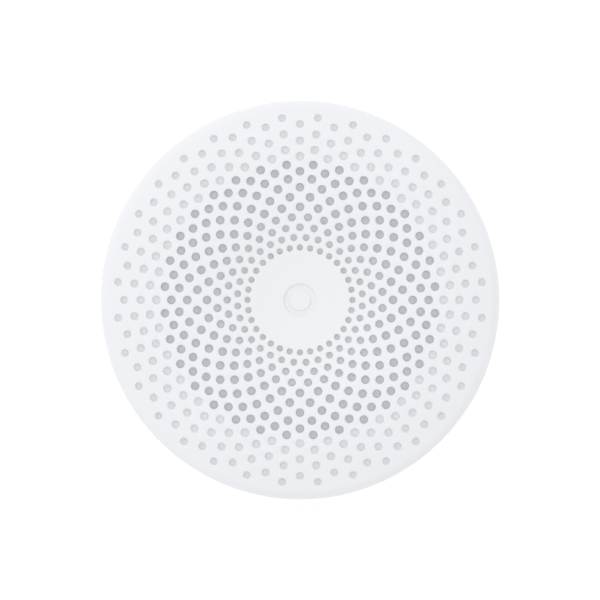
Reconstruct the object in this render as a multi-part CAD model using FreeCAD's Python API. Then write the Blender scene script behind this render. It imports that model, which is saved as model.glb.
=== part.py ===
"""Pocket smart speaker: a round puck with a perforated, dished top, modelled piece by piece.

Millimetres, +Z up. The origin is the centre of the table face, under the silicone foot.
The charging port looks along -Y and the lanyard eye along +Y.
Each function below makes one piece, and main() writes one STEP file for each.
"""

import FreeCAD
import Part
import math
import os

Vector = FreeCAD.Vector

# ---------------------------------------------------------------- housing
BODY_D = 54.0  # outside diameter
BODY_H = 28.0  # table to the crest of the top
FOOT_PROUD = 0.6  # how far the foot lifts the shell off the table
WALL_T = 1.6  # side wall and floor
GRILLE_T = 1.1  # top of the cover
FIELD_T = 0.8  # thinner field of open holes, inside the ring rib
EDGE_ROUND = 1.6  # round between top and side
LOWER_ROUND = 9.0  # bowl round between side and base
PART_Z = 15.0  # height of the seam between the two shells
SEAM_GAP = 0.2  # shadow line at the seam
TONGUE_H = 2.4  # lip of the lower shell inside the top cover
TONGUE_T = 0.7
TONGUE_GAP = 0.05
SNAP_COUNT = 6
SNAP_ARC = 14.0  # degrees
SNAP_OUT = 0.35  # how far a snap stands off the tongue
SNAP_H = 0.8
SNAP_GAP = 0.08

# ---------------------------------------------------------------- dish in the top
DISH_DEPTH = 1.5  # crest down to the middle
CREST_R = 16.2  # radius of the crest circle
INFLECTION_R = 9.5  # where the hollow curve turns into the crest curve

# ---------------------------------------------------------------- hole pattern
HOLES_PER_RING = 32
OPEN_RINGS = 10  # drilled through, over the driver
BLIND_RINGS = 6  # shallow ones, over the rim
FIRST_RING_R = 7.1
RIB_MARGIN = 0.11  # last open hole to the ring rib under the cover
RIM_MARGIN = 2.3  # last blind ring to the outside of the cover
WIDE_GAP = 1.37  # between open rings near the middle
NARROW_GAP = 0.94  # between the outermost open rings, and inside a pair of blind rings
NARROWING_STARTS = 4  # gap number where the open rings begin to close up
NARROWING_LENGTH = 4  # gaps that it takes
PAIR_GAP = 1.08  # from the open rings to the first pair of blind rings
PAIR_GAP_GROWTH = 0.115  # each next pair stands this much further out
FIRST_HOLE_D = 0.82
HOLE_D_STEP = 0.085  # each ring's holes grow by this, up to OPEN_HOLE_D
OPEN_HOLE_D = 1.155
DRILL_OVERRUN = 1.0
BLIND_HOLE_D_STEP = 0.03  # blind holes shrink by this, ring by ring
BLIND_DEPTH = 0.58
MARK_R = 2.2  # plain ring pressed into the middle
MARK_LINE = 0.8  # its width
MARK_DEPTH = 0.25

# ---------------------------------------------------------------- cloth, driver seat and clamp
CLOTH_T = 0.2
CLOTH_GAP = 0.05  # glue film
DRIVER_SIDE_ROOM = 5.0  # side wall to the driver's rim
DRIVER_DROP = 3.1  # underside of the crest to the driver's flange
FLANGE_T = 0.8
FLANGE_W = 2.0
RIB_T = 1.4  # ring rib of the top cover that presses on the gasket
GASKET_T = 0.5
CLAMP_T = 1.2
CLAMP_GAP = 0.4  # clamp ring to side wall and to basket
BOSS_D = 3.6
BOSS_COUNT = 4
BOSS_ANGLE = 45.0
BOSS_GAP = 0.4  # boss to the driver's rim
SCREW_D = 1.6
SCREW_CLEARANCE = 0.1  # radial, in a through hole
THREAD_GAP = 0.02  # radial, where the thread bites
SCREW_HEAD_D = 3.2
SCREW_HEAD_T = 1.0
SOCKET_D = 1.3  # drive recess in a screw head
SOCKET_DEPTH = 0.5
CLAMP_SCREW_L = 3.6

# ---------------------------------------------------------------- driver
DRIVER_DEPTH = 8.9  # flange top to yoke underside
YOKE_R = 8.9
YOKE_BASE_T = 1.4
MAGNET_T = 2.2
POLE_T = 1.2
POLE_R = 6.4
FORMER_T = 0.15
FORMER_R = 6.85  # outside of the former
WINDING_T = 0.3
WINDING_H = 2.8
AIR_GAP = 0.25  # winding to yoke
YOKE_COLLAR = 1.5  # basket skirt round the yoke
HUB_R = 11.0
HUB_SETBACK = 0.3  # basket's inner edge behind the yoke's bore
GLUE_GAP = 0.02
BASKET_T = 0.6
SPIDER_LIFT = 1.2  # yoke top to spider
SPIDER_T = 0.2
SPIDER_WAVE = 0.2
SPIDER_WAVES = 3
SPIDER_RISE = 0.5  # from its landing up to its collar
SPIDER_COLLAR_W = 0.5
SPIDER_R = 12.4
SHELF_W = 1.8
NECK_LIFT = 0.9  # spider to the cone's neck
PAPER_T = 0.35
SURROUND_T = 0.3
ROLL_R = 1.6  # mean radius of the surround's half roll
LANDING_W = 1.2  # glued width of the surround on the cone
CONE_DROP = 0.6  # cone's edge below the flange
BASKET_POCKET = 0.9  # upright wall under the flange
CAP_R = 8.3
CAP_T = 0.25
CAP_SET_DOWN = 0.1  # its top below the flange
WINDOW_COUNT = 4
WINDOW_ARC = 46.0  # degrees
WINDOW_MARGIN = 0.8  # rim left round a window
TERMINAL_W = 8.0
TERMINAL_T = 0.8
LUG_W = 1.4
LUG_T = 0.3
LUG_Y = 2.2

# ---------------------------------------------------------------- button and switch
BUTTON_D = 11.6
BUTTON_GAP = 0.2  # radial, button to its opening
BUTTON_RECESS = 0.3  # button face inside the shell's underside
BUTTON_FLANGE_W = 1.4
BUTTON_FLANGE_T = 0.7
BUTTON_TRAVEL = 0.3
BUTTON_POST_R = 1.5
BUTTON_POST_H = 0.5
DIMPLE_R = 7.0  # radius of the fingertip dimple in the button
DIMPLE_DEPTH = 0.25
GUIDE_H = 1.2  # collar round the button's flange
GUIDE_T = 1.0
SEAT_GAP = 0.02  # stands for parts that just touch
SWITCH_W = 4.2
SWITCH_ROOF_T = 0.1
SWITCH_COVER_T = 0.15
PLUNGER_R = 0.95
PLUNGER_OUT = 0.5  # how far it stands out of the cover
PLUNGER_FLANGE_W = 0.5
PLUNGER_FLANGE_T = 0.2
PLUNGER_GAP = 0.12  # radial
DOME_T = 0.06

# ---------------------------------------------------------------- foot
FOOT_EDGE = 0.8  # foot to the start of the bowl's round
FOOT_W = 5.0
FOOT_SEAT = 0.7  # depth of its groove
FOOT_GAP = 0.05
FOOT_CHAMFER = 0.3

# ---------------------------------------------------------------- circuit board and what is on it
BOARD_T = 0.8
BOARD_EDGE_GAP = 0.6
POST_INSET = 3.5  # board edge to its screws
POST_ANGLES = (0.0, 120.0, 240.0)
POST_D = 4.0
TRAY_SCREW_L = 4.2
USB_W = 7.5
USB_H = 2.6
USB_L = 5.4
USB_SHEET = 0.3
USB_RECESS = 0.7  # mouth inside the outer wall
USB_OPENING_GAP = 0.3
USB_CHAMFER = 0.7
USB_PLUG_ROOM = 3.9  # depth behind the mouth
USB_TONGUE_W = 3.6
USB_TONGUE_T = 0.5
USB_TONGUE_LIFT = 0.1  # over the receptacle's middle
USB_TONGUE_INSET = 0.9  # behind the mouth
USB_CONTACT = (0.35, 2.7, 0.08, 0.65)  # width, length, thickness and pitch
LED_ANGLE = 250.0
LED_SIZE = (0.8, 1.6, 1.6)  # radial, across, high
LED_INSET = 2.0
GUIDE_D = 1.8
GUIDE_HOLE_GAP = 0.05
GUIDE_RECESS = 0.1
MIC_ANGLE = 300.0
MIC_D = 4.0
MIC_L = 1.5
MIC_INSET = 2.6  # its back to the board's edge
BOOT_T = 0.6
BOOT_NOSE_D = 2.6
SOUND_HOLE_D = 1.2
CHIPS = {  # name: (width, depth, height, x, y)
    "radio_chip": (6.0, 6.0, 0.85, -6.5, 3.0),
    "amplifier_chip": (4.0, 4.0, 0.8, -8.0, -7.0),
    "charger_chip": (3.0, 3.0, 0.75, 2.5, -9.0),
    "memory_chip": (5.0, 4.0, 0.8, 1.5, 6.0),
    "crystal": (3.2, 2.5, 0.7, -11.6, 5.0),
    "power_inductor": (4.0, 4.0, 1.2, 8.0, -7.0),
}
PASSIVE_SIZE = (1.0, 0.5, 0.5)
CAPACITOR_SIZE = (1.6, 0.8, 0.8)
ANTENNA_SIZE = (2.0, 5.2, 1.1)
ANTENNA_ANGLE = 60.0
ANTENNA_INSET = 2.2

# ---------------------------------------------------------------- battery, tray and leads
TRAY_LIFT = 1.4  # board to tray
TRAY_T = 0.8
TRAY_RIM_T = 1.0
TRAY_RIM_H = 2.0
TRAY_GAP = 0.2
BATTERY_ROOM = 2.9  # battery side to the nearest screw head
BATTERY_CORNER = 1.2
TAPE_T = 0.15
TAPE_INSET = 1.5
PAD_T = 0.4
PROTECTION_L = 2.4
PROTECTION_T = 1.0
PROTECTION_INSET = 2.0
SOCKET_SIZE = (3.2, 5.0, 1.9)  # battery socket on the board
SOCKET_WALL = 0.5
PLUG_LIP = 0.5  # plug over the socket
SOCKET_Y = -7.0
LEAD_D = 0.9
LEAD_BEND = 1.6
LEAD_PITCH = 1.6
SPEAKER_LEAD_INSET = 4.6  # board edge to the speaker leads

# ---------------------------------------------------------------- lanyard eye
EYE_W = 7.2
EYE_H = 3.2
EYE_DEPTH = 4.2
EYE_WALL = 1.2
EYE_BAR_R = 0.9
EYE_BAR_INSET = 1.1  # bar's face behind the outer wall
EYE_Z = 10.2

# ---------------------------------------------------------------- heights and radii that follow
OUTER_R = BODY_D / 2
INNER_R = OUTER_R - WALL_T
BOWL_R = OUTER_R - LOWER_ROUND
BOWL_Z = FOOT_PROUD + LOWER_ROUND
FLOOR_Z = FOOT_PROUD + WALL_T

SUM_R = (CREST_R**2 + DISH_DEPTH**2) / (2 * DISH_DEPTH)
DISH_R = INFLECTION_R * SUM_R / CREST_R
CROWN_R = SUM_R - DISH_R
DISH_Z = BODY_H - DISH_DEPTH + DISH_R
CROWN_Z = BODY_H - CROWN_R
EDGE_CENTRE_R = OUTER_R - EDGE_ROUND
EDGE_CENTRE_Z = CROWN_Z + math.sqrt((CROWN_R - EDGE_ROUND) ** 2 - (EDGE_CENTRE_R - CREST_R) ** 2)

UNDER_CREST_Z = BODY_H - GRILLE_T
FLANGE_Z = UNDER_CREST_Z - DRIVER_DROP
DRIVER_R = INNER_R - DRIVER_SIDE_ROOM
SEAT_Z = FLANGE_Z - FLANGE_T
BOSS_R = DRIVER_R + BOSS_GAP + BOSS_D / 2
YOKE_Z = FLANGE_Z - DRIVER_DEPTH
MAGNET_Z = YOKE_Z + YOKE_BASE_T
POLE_Z = MAGNET_Z + MAGNET_T
YOKE_TOP = POLE_Z + POLE_T
SPIDER_Z = YOKE_TOP + SPIDER_LIFT
NECK_Z = SPIDER_Z + NECK_LIFT
COIL_MID = YOKE_TOP - POLE_T / 2
WINDING_R = FORMER_R + WINDING_T
YOKE_BORE = WINDING_R + AIR_GAP
LANDING_Z = FLANGE_Z - CONE_DROP
ROLL_OUT = DRIVER_R - FLANGE_W
ROLL_MID = ROLL_OUT - ROLL_R
CONE_R = ROLL_MID - ROLL_R

BUTTON_Z = FOOT_PROUD + BUTTON_RECESS
BUTTON_TOP = FLOOR_Z + SEAT_GAP + BUTTON_FLANGE_T
POST_TOP = BUTTON_TOP + BUTTON_POST_H
PLUNGER_TIP = POST_TOP + SEAT_GAP
SWITCH_Z = PLUNGER_TIP + PLUNGER_OUT
PLUNGER_TOP = SWITCH_Z + SWITCH_COVER_T + SEAT_GAP + PLUNGER_FLANGE_T
DOME_Z = PLUNGER_TOP + SEAT_GAP
DOME_EDGE_Z = DOME_Z + BUTTON_TRAVEL + DOME_T
BOARD_Z = DOME_EDGE_Z + GLUE_GAP + SWITCH_ROOF_T
BOARD_TOP = BOARD_Z + BOARD_T
TRAY_Z = BOARD_TOP + TRAY_LIFT
TRAY_TOP = TRAY_Z + TRAY_T
CELL_Z = TRAY_TOP + TAPE_T
CELL_TOP = YOKE_Z - PAD_T


def inner_wall(z):
    """Inside radius of the lower shell at height z."""
    if z >= BOWL_Z:
        return INNER_R
    return BOWL_R + math.sqrt((LOWER_ROUND - WALL_T) ** 2 - (BOWL_Z - z) ** 2)


def outer_wall(z):
    """Outside radius of the lower shell at height z."""
    if z >= BOWL_Z:
        return OUTER_R
    return BOWL_R + math.sqrt(LOWER_ROUND**2 - (BOWL_Z - z) ** 2)


BOARD_R = inner_wall(BOARD_Z) - BOARD_EDGE_GAP
POST_R = BOARD_R - POST_INSET
CELL_X = POST_R - SCREW_HEAD_D / 2 - BATTERY_ROOM
CELL_Y = POST_R * math.sin(math.radians(POST_ANGLES[1])) - SCREW_HEAD_D / 2 - BATTERY_ROOM
USB_Z = BOARD_TOP + USB_H / 2
USB_MOUTH = math.sqrt(outer_wall(BOARD_TOP) ** 2 - (USB_W / 2) ** 2) - USB_RECESS
LIGHT_Z = BOARD_TOP + LED_SIZE[2] / 2
MIC_Z = BOARD_TOP + BOOT_T + MIC_D / 2
SPEAKER_LEAD_R = BOARD_R - SPEAKER_LEAD_INSET


# ---------------------------------------------------------------- shape helpers
def disc(radius, low, high):
    return Part.makeCylinder(radius, high - low, Vector(0, 0, low))


def ring(inner, outer, low, high):
    return disc(outer, low, high).cut(disc(inner, low, high))


def block(x_low, x_high, y_low, y_high, z_low, z_high):
    return Part.makeBox(x_high - x_low, y_high - y_low, z_high - z_low, Vector(x_low, y_low, z_low))


def block_on(width, depth, height, x, y, z):
    """A block standing at height z, centred on x, y."""
    return block(x - width / 2, x + width / 2, y - depth / 2, y + depth / 2, z, z + height)


def rounded_block(x_low, x_high, y_low, y_high, z_low, z_high, radius):
    shape = block(x_low, x_high, y_low, y_high, z_low, z_high)
    upright = [e for e in shape.Edges if abs(e.BoundBox.ZLength - (z_high - z_low)) < 1e-6]
    return shape.makeFillet(radius, upright)


def turned(edges, degrees=360.0):
    """The solid that a closed outline in the XZ plane sweeps round the Z axis."""
    face = Part.Face(Part.Wire(Part.__sortEdges__(edges)))
    return face.revolve(Vector(0, 0, 0), Vector(0, 0, 1), degrees)


def line(start, end):
    return Part.LineSegment(Vector(start[0], 0, start[1]), Vector(end[0], 0, end[1])).toShape()


def arc(start, middle, end):
    points = [Vector(p[0], 0, p[1]) for p in (start, middle, end)]
    return Part.Arc(*points).toShape()


def outline(points):
    """Straight edges through (radius, height) points, closed."""
    return [line(a, b) for a, b in zip(points, points[1:] + points[:1])]


def turned_by(shape, degrees):
    copy = shape.copy()
    copy.rotate(Vector(0, 0, 0), Vector(0, 0, 1), degrees)
    return copy


def round_copies(shape, count, start=0.0):
    """Copies of a shape spread evenly round the Z axis."""
    return [turned_by(shape, start + i * 360.0 / count) for i in range(count)]


def at_angles(shape, angles):
    return [turned_by(shape, a) for a in angles]


def radial_cylinder(radius, r_low, r_high, z, angle):
    """A cylinder lying along a radius at the given angle."""
    shape = Part.makeCylinder(radius, r_high - r_low, Vector(r_low, 0, z), Vector(1, 0, 0))
    return turned_by(shape, angle)


def on_circle(radius, centre, degrees):
    """Point of a circle in the XZ plane, by its angle from +X."""
    turn = math.radians(degrees)
    return (centre[0] + radius * math.cos(turn), centre[1] + radius * math.sin(turn))


def round_wire(points, radius, bend):
    """A round wire along straight runs joined by tangent arcs."""
    edges = []
    start = points[0]
    for before, corner, after in zip(points, points[1:], points[2:]):
        back = (before - corner).normalize()
        on = (after - corner).normalize()
        half = back.getAngle(on) / 2
        reach = bend / math.tan(half)
        first = corner + back * reach
        last = corner + on * reach
        middle_way = (back + on).normalize()
        middle = corner + middle_way * (bend / math.sin(half) - bend)
        edges.append(Part.LineSegment(start, first).toShape())
        edges.append(Part.Arc(first, middle, last).toShape())
        start = last
    edges.append(Part.LineSegment(start, points[-1]).toShape())
    path = Part.Wire(edges)
    section = Part.Wire(Part.makeCircle(radius, points[0], points[1] - points[0]))
    return path.makePipeShell([section], True, True)


# ---------------------------------------------------------------- top cover
def dish_outline(offset):
    """The top's hollow and crown arcs, offset inwards, with the point on the axis and the outer end."""
    hollow = DISH_R + offset
    crown = CROWN_R - offset
    toward = math.degrees(math.asin(INFLECTION_R / DISH_R))
    start = (0.0, DISH_Z - hollow)
    centre = (0.0, DISH_Z)
    crown_centre = (CREST_R, CROWN_Z)
    middle = on_circle(hollow, centre, -90 + toward / 2)
    turn = on_circle(hollow, centre, -90 + toward)
    if offset:
        end_r = INNER_R
        end_z = CROWN_Z + math.sqrt(crown**2 - (end_r - CREST_R) ** 2)
    else:
        lean = (EDGE_CENTRE_R - CREST_R) / (CROWN_R - EDGE_ROUND)
        end_r = CREST_R + crown * lean
        end_z = CROWN_Z + crown * math.sqrt(1 - lean**2)
    end = (end_r, end_z)
    edges = [arc(start, middle, turn), arc(turn, on_circle(crown, crown_centre, 90), end)]
    return edges, start, end


def spread(start, end, gaps):
    """Radii from start to end, spaced in proportion to the gaps."""
    share = (end - start) / sum(gaps)
    radii = [start]
    for gap in gaps:
        radii.append(radii[-1] + gap * share)
    return radii


def ring_radii():
    """Radius of each ring of holes. Open rings close up outwards, and blind rings stand in pairs."""
    open_gaps = []
    for i in range(OPEN_RINGS - 1):
        t = min(max((i - NARROWING_STARTS) / NARROWING_LENGTH, 0.0), 1.0)
        open_gaps.append(WIDE_GAP - (WIDE_GAP - NARROW_GAP) * t * t * (3 - 2 * t))
    blind_gaps = []
    for i in range(BLIND_RINGS):
        blind_gaps.append(NARROW_GAP if i % 2 else PAIR_GAP + PAIR_GAP_GROWTH * i / 2)
    last_open_r = DRIVER_R - RIB_T - RIB_MARGIN - OPEN_HOLE_D / 2
    open_radii = spread(FIRST_RING_R, last_open_r, open_gaps)
    return open_radii + spread(last_open_r, OUTER_R - RIM_MARGIN, blind_gaps)[1:]


def hole_diameter(ring_number):
    if ring_number < OPEN_RINGS:
        return min(FIRST_HOLE_D + HOLE_D_STEP * ring_number, OPEN_HOLE_D)
    return OPEN_HOLE_D - BLIND_HOLE_D_STEP * (ring_number - OPEN_RINGS)


def top_height(r):
    """Height of the cover's outer surface at radius r, inside the edge round."""
    if r <= INFLECTION_R:
        return DISH_Z - math.sqrt(DISH_R**2 - r**2)
    return CROWN_Z + math.sqrt(CROWN_R**2 - (r - CREST_R) ** 2)


def hole_tools():
    """One drill for each hole: through drills for the open rings, short ones for the blind rings."""
    drills = []
    pitch = 360.0 / HOLES_PER_RING
    for number, radius in enumerate(ring_radii()):
        surface = top_height(radius)
        depth = GRILLE_T if number < OPEN_RINGS else BLIND_DEPTH
        stagger = pitch / 2 * (number % 2)
        foot = Vector(radius, 0, surface - depth)
        drill = Part.makeCylinder(hole_diameter(number) / 2, depth + DRILL_OVERRUN, foot)
        drills += round_copies(drill, HOLES_PER_RING, stagger)
    return drills


def snaps(grow):
    """Snap ridges on the tongue, or the slightly larger pockets for them."""
    root = INNER_R + TONGUE_T - (0.0 if grow else GLUE_GAP)
    tip = INNER_R + TONGUE_T + SNAP_OUT + grow
    middle = PART_Z + TONGUE_H / 2
    half = SNAP_H / 2 + grow
    ridge = outline([(root, middle - half), (tip, middle), (root, middle + half)])
    span = SNAP_ARC + (2.0 if grow else 0.0)
    wedge = turned_by(turned(ridge, span), -span / 2)
    return round_copies(wedge, SNAP_COUNT)


def cover_outside(side_end):
    """The cover's outer edges from the axis over the top and down the side to height side_end."""
    edges, start, shoulder = dish_outline(0.0)
    side_top = (OUTER_R, EDGE_CENTRE_Z)
    edge_middle = on_circle(EDGE_ROUND, (EDGE_CENTRE_R, EDGE_CENTRE_Z), 40)
    edges.append(arc(shoulder, edge_middle, side_top))
    edges.append(line(side_top, (OUTER_R, side_end)))
    return edges, start


def top_grille():
    """Perforated, dished cover with the ring rib, the screw bosses and the seam's rebate."""
    outer, top = cover_outside(PART_Z)
    inner, underside, corner = dish_outline(GRILLE_T)
    rebate_r = INNER_R + TONGUE_T + TONGUE_GAP
    rebate_top = PART_Z + TONGUE_H + TONGUE_GAP
    shell = turned(outer + [
        line((OUTER_R, PART_Z), (rebate_r, PART_Z)),
        line((rebate_r, PART_Z), (rebate_r, rebate_top)),
        line((rebate_r, rebate_top), (INNER_R, rebate_top)),
        line((INNER_R, rebate_top), corner),
        line(underside, top),
    ] + inner)
    rib_low = FLANGE_Z + SURROUND_T + GASKET_T
    boss = disc(BOSS_D / 2, SEAT_Z, UNDER_CREST_Z)
    boss.translate(Vector(BOSS_R, 0, 0))
    rib = ring(DRIVER_R - RIB_T, DRIVER_R, rib_low, UNDER_CREST_Z)
    bosses = round_copies(boss, BOSS_COUNT, BOSS_ANGLE)
    filled, top = cover_outside(0)
    filled = turned(filled + [line((OUTER_R, 0), (0, 0)), line((0, 0), top)])
    shell = shell.fuse([rib] + bosses).common(filled)
    shell = shell.cut(under_dish(FIELD_T).common(disc(DRIVER_R - RIB_T, 0, BODY_H)))
    pilot = disc(SCREW_D / 2 + THREAD_GAP, SEAT_Z, SEAT_Z - CLAMP_T + CLAMP_SCREW_L + 0.3)
    pilot.translate(Vector(BOSS_R, 0, 0))
    mark = ring(MARK_R - MARK_LINE, MARK_R, BODY_H - DISH_DEPTH - MARK_DEPTH, BODY_H)
    shell = shell.cut(snaps(SNAP_GAP))
    shell = shell.cut(round_copies(pilot, BOSS_COUNT, BOSS_ANGLE) + [mark])
    return shell.cut(hole_tools())


def dust_cloth():
    """Acoustic cloth glued under the open holes, inside the ring rib."""
    upper = under_dish(FIELD_T + CLOTH_GAP)
    lower = under_dish(FIELD_T + CLOTH_GAP + CLOTH_T)
    return upper.cut(lower).common(disc(DRIVER_R - RIB_T - CLOTH_GAP, 0, BODY_H))


def under_dish(offset):
    """Everything below the top's outer surface, from the given depth down."""
    edges, start, end = dish_outline(offset)
    return turned(edges + [line(end, (end[0], 0)), line((end[0], 0), (0, 0)), line((0, 0), start)])


# ---------------------------------------------------------------- lower shell and foot
def bowl(radius_out, floor, top):
    """Filled bowl: flat floor, a round, and an upright side."""
    round_r = radius_out - BOWL_R
    middle = on_circle(round_r, (BOWL_R, BOWL_Z), -45)
    edges = [
        line((0, floor), (BOWL_R, floor)),
        arc((BOWL_R, floor), middle, (radius_out, BOWL_Z)),
        line((radius_out, BOWL_Z), (radius_out, top)),
        line((radius_out, top), (0, top)),
        line((0, top), (0, floor)),
    ]
    return turned(edges)


def lower_shell():
    """Bowl with the button opening, port, light and sound holes, board posts and lanyard eye."""
    outside = bowl(OUTER_R, FOOT_PROUD, PART_Z - SEAM_GAP)
    inside = bowl(INNER_R, FLOOR_Z, BODY_H)
    tongue = ring(INNER_R, INNER_R + TONGUE_T, PART_Z - SEAM_GAP, PART_Z + TONGUE_H)
    opening_r = BUTTON_D / 2 + BUTTON_GAP
    guide_r = opening_r + BUTTON_FLANGE_W
    guide = ring(guide_r, guide_r + GUIDE_T, FLOOR_Z, FLOOR_Z + GUIDE_H)
    post = disc(POST_D / 2, FLOOR_Z, BOARD_Z)
    post.translate(Vector(POST_R, 0, 0))
    eye_back = OUTER_R - EYE_DEPTH
    eye_box = block(-EYE_W / 2 - EYE_WALL, EYE_W / 2 + EYE_WALL, eye_back - EYE_WALL, OUTER_R,
                    EYE_Z - EYE_H / 2 - EYE_WALL, EYE_Z + EYE_H / 2 + EYE_WALL)
    eye_box = eye_box.common(bowl(OUTER_R, FOOT_PROUD, PART_Z - SEAM_GAP))
    shell = outside.cut(inside)
    shell = shell.fuse([tongue, guide, eye_box] + at_angles(post, POST_ANGLES) + snaps(0.0))

    bar = disc(EYE_BAR_R, EYE_Z - EYE_H / 2, EYE_Z + EYE_H / 2)
    bar.translate(Vector(0, OUTER_R - EYE_BAR_INSET - EYE_BAR_R, 0))
    eye = rounded_block(-EYE_W / 2, EYE_W / 2, eye_back, OUTER_R + 1,
                        EYE_Z - EYE_H / 2, EYE_Z + EYE_H / 2, EYE_BAR_R)
    pilot = disc(SCREW_D / 2 + THREAD_GAP, FLOOR_Z + 0.1, BOARD_Z)
    pilot.translate(Vector(POST_R, 0, 0))
    foot_out = BOWL_R - FOOT_EDGE
    port = block(-USB_W / 2 - USB_OPENING_GAP, USB_W / 2 + USB_OPENING_GAP, -OUTER_R - 1, -INNER_R + 3,
                 USB_Z - USB_H / 2 - USB_OPENING_GAP, USB_Z + USB_H / 2 + USB_OPENING_GAP)
    port = port.makeFillet(USB_CHAMFER, [e for e in port.Edges if e.BoundBox.YLength > 2])
    cuts = [
        disc(opening_r, 0, FLOOR_Z),
        ring(foot_out - FOOT_W, foot_out, 0, FOOT_PROUD + FOOT_SEAT),
        port,
        radial_cylinder(GUIDE_D / 2 + GUIDE_HOLE_GAP, BOWL_R, OUTER_R + 1, LIGHT_Z, LED_ANGLE),
        radial_cylinder(SOUND_HOLE_D / 2, BOWL_R, OUTER_R + 1, MIC_Z, MIC_ANGLE),
        eye.cut(bar),
    ]
    return shell.cut(cuts + at_angles(pilot, POST_ANGLES))


def foot_ring():
    outer = BOWL_R - FOOT_EDGE - FOOT_GAP
    inner = BOWL_R - FOOT_EDGE - FOOT_W + FOOT_GAP
    top = FOOT_PROUD + FOOT_SEAT
    bevel = FOOT_CHAMFER
    return turned(outline([
        (inner, bevel), (inner + bevel, 0), (outer - bevel, 0), (outer, bevel), (outer, top), (inner, top),
    ]))


def function_button():
    """Key with a finger dimple below, a flange that holds it in, and a post that meets the switch."""
    cap = disc(BUTTON_D / 2, BUTTON_Z, BUTTON_TOP)
    flange = disc(BUTTON_D / 2 + BUTTON_FLANGE_W, FLOOR_Z + SEAT_GAP, BUTTON_TOP)
    post = disc(BUTTON_POST_R, BUTTON_TOP, POST_TOP)
    dimple_r = (DIMPLE_R**2 + DIMPLE_DEPTH**2) / (2 * DIMPLE_DEPTH)
    dimple = Part.makeSphere(dimple_r, Vector(0, 0, BUTTON_Z + DIMPLE_DEPTH - dimple_r))
    return cap.fuse([flange, post]).removeSplitter().cut(dimple)


# ---------------------------------------------------------------- driver
def driver_gasket():
    return ring(DRIVER_R - RIB_T, DRIVER_R, FLANGE_Z + SURROUND_T, FLANGE_Z + SURROUND_T + GASKET_T)


def clamp_ring():
    """Plate under the driver's flange that pulls it up against the gasket."""
    body = ring(ROLL_OUT + BASKET_T + CLAMP_GAP, INNER_R - CLAMP_GAP, SEAT_Z - CLAMP_T, SEAT_Z)
    hole = disc(SCREW_D / 2 + SCREW_CLEARANCE, SEAT_Z - CLAMP_T, SEAT_Z)
    hole.translate(Vector(BOSS_R, 0, 0))
    return body.cut(round_copies(hole, BOSS_COUNT, BOSS_ANGLE))


def screw(head_z, length, head_up):
    """Pan-head screw on the Z axis: its head seats at head_z, and its shank runs the other way."""
    way = 1 if head_up else -1
    shank_low = min(head_z, head_z - way * length)
    head_low = min(head_z, head_z + way * SCREW_HEAD_T)
    head_far = head_z + way * SCREW_HEAD_T
    shank = disc(SCREW_D / 2, shank_low, shank_low + length)
    head = disc(SCREW_HEAD_D / 2, head_low, head_low + SCREW_HEAD_T)
    rim = [e for e in head.Edges if abs(e.BoundBox.ZMin - head_far) < 1e-6 and e.BoundBox.ZLength < 1e-6]
    head = head.makeFillet(SCREW_HEAD_T * 0.45, rim)
    socket_low = min(head_far, head_far - way * SOCKET_DEPTH)
    socket = disc(SOCKET_D / 2, socket_low, socket_low + SOCKET_DEPTH)
    return shank.fuse(head).removeSplitter().cut(socket)


def clamp_screws():
    one = screw(SEAT_Z - CLAMP_T, CLAMP_SCREW_L, head_up=False)
    one.translate(Vector(BOSS_R, 0, 0))
    return round_copies(one, BOSS_COUNT, BOSS_ANGLE)


def driver_basket():
    """Pressed frame: skirt round the yoke, spider shelf, windowed slope, upright pocket and flange."""
    skirt_in = YOKE_R + GLUE_GAP
    skirt_low = YOKE_TOP - YOKE_COLLAR
    hub_in = YOKE_BORE + HUB_SETBACK
    shelf_in = SPIDER_R - SHELF_W
    pocket_z = SEAT_Z - BASKET_POCKET
    frame = turned(outline([
        (hub_in, YOKE_TOP), (skirt_in, YOKE_TOP), (skirt_in, skirt_low), (skirt_in + BASKET_T, skirt_low),
        (HUB_R, YOKE_TOP), (SPIDER_R, YOKE_TOP), (ROLL_OUT + BASKET_T, pocket_z - BASKET_T),
        (ROLL_OUT + BASKET_T, SEAT_Z), (DRIVER_R, SEAT_Z), (DRIVER_R, FLANGE_Z), (ROLL_OUT, FLANGE_Z),
        (ROLL_OUT, pocket_z), (SPIDER_R + GLUE_GAP, SPIDER_Z), (shelf_in, SPIDER_Z),
        (shelf_in, YOKE_TOP + BASKET_T), (hub_in, YOKE_TOP + BASKET_T),
    ]))
    window_in = SPIDER_R + WINDOW_MARGIN
    window_out = ROLL_OUT - WINDOW_MARGIN
    low = YOKE_Z
    opening = turned(outline([
        (window_in, low), (window_out, low), (window_out, SEAT_Z), (window_in, SEAT_Z),
    ]), WINDOW_ARC)
    return frame.cut(round_copies(opening, WINDOW_COUNT, BOSS_ANGLE - WINDOW_ARC / 2))


def magnet_yoke():
    cup = disc(YOKE_R, YOKE_Z, YOKE_TOP)
    return cup.cut(disc(YOKE_BORE, MAGNET_Z, YOKE_TOP))


def driver_magnet():
    return disc(POLE_R - 0.1, MAGNET_Z, POLE_Z)


def pole_plate():
    return disc(POLE_R, POLE_Z, YOKE_TOP)


def coil_former():
    return ring(FORMER_R - FORMER_T, FORMER_R, COIL_MID - WINDING_H / 2 - 0.1, NECK_Z + PAPER_T)


def voice_coil():
    return ring(FORMER_R + 0.001, WINDING_R, COIL_MID - WINDING_H / 2, COIL_MID + WINDING_H / 2)


def cone_top(r):
    """Height of the cone's upper face at radius r."""
    neck_r = FORMER_R + GLUE_GAP
    share = (r - neck_r) / (CONE_R - LANDING_W - neck_r)
    return NECK_Z + PAPER_T + share * (LANDING_Z - NECK_Z - PAPER_T)


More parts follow.
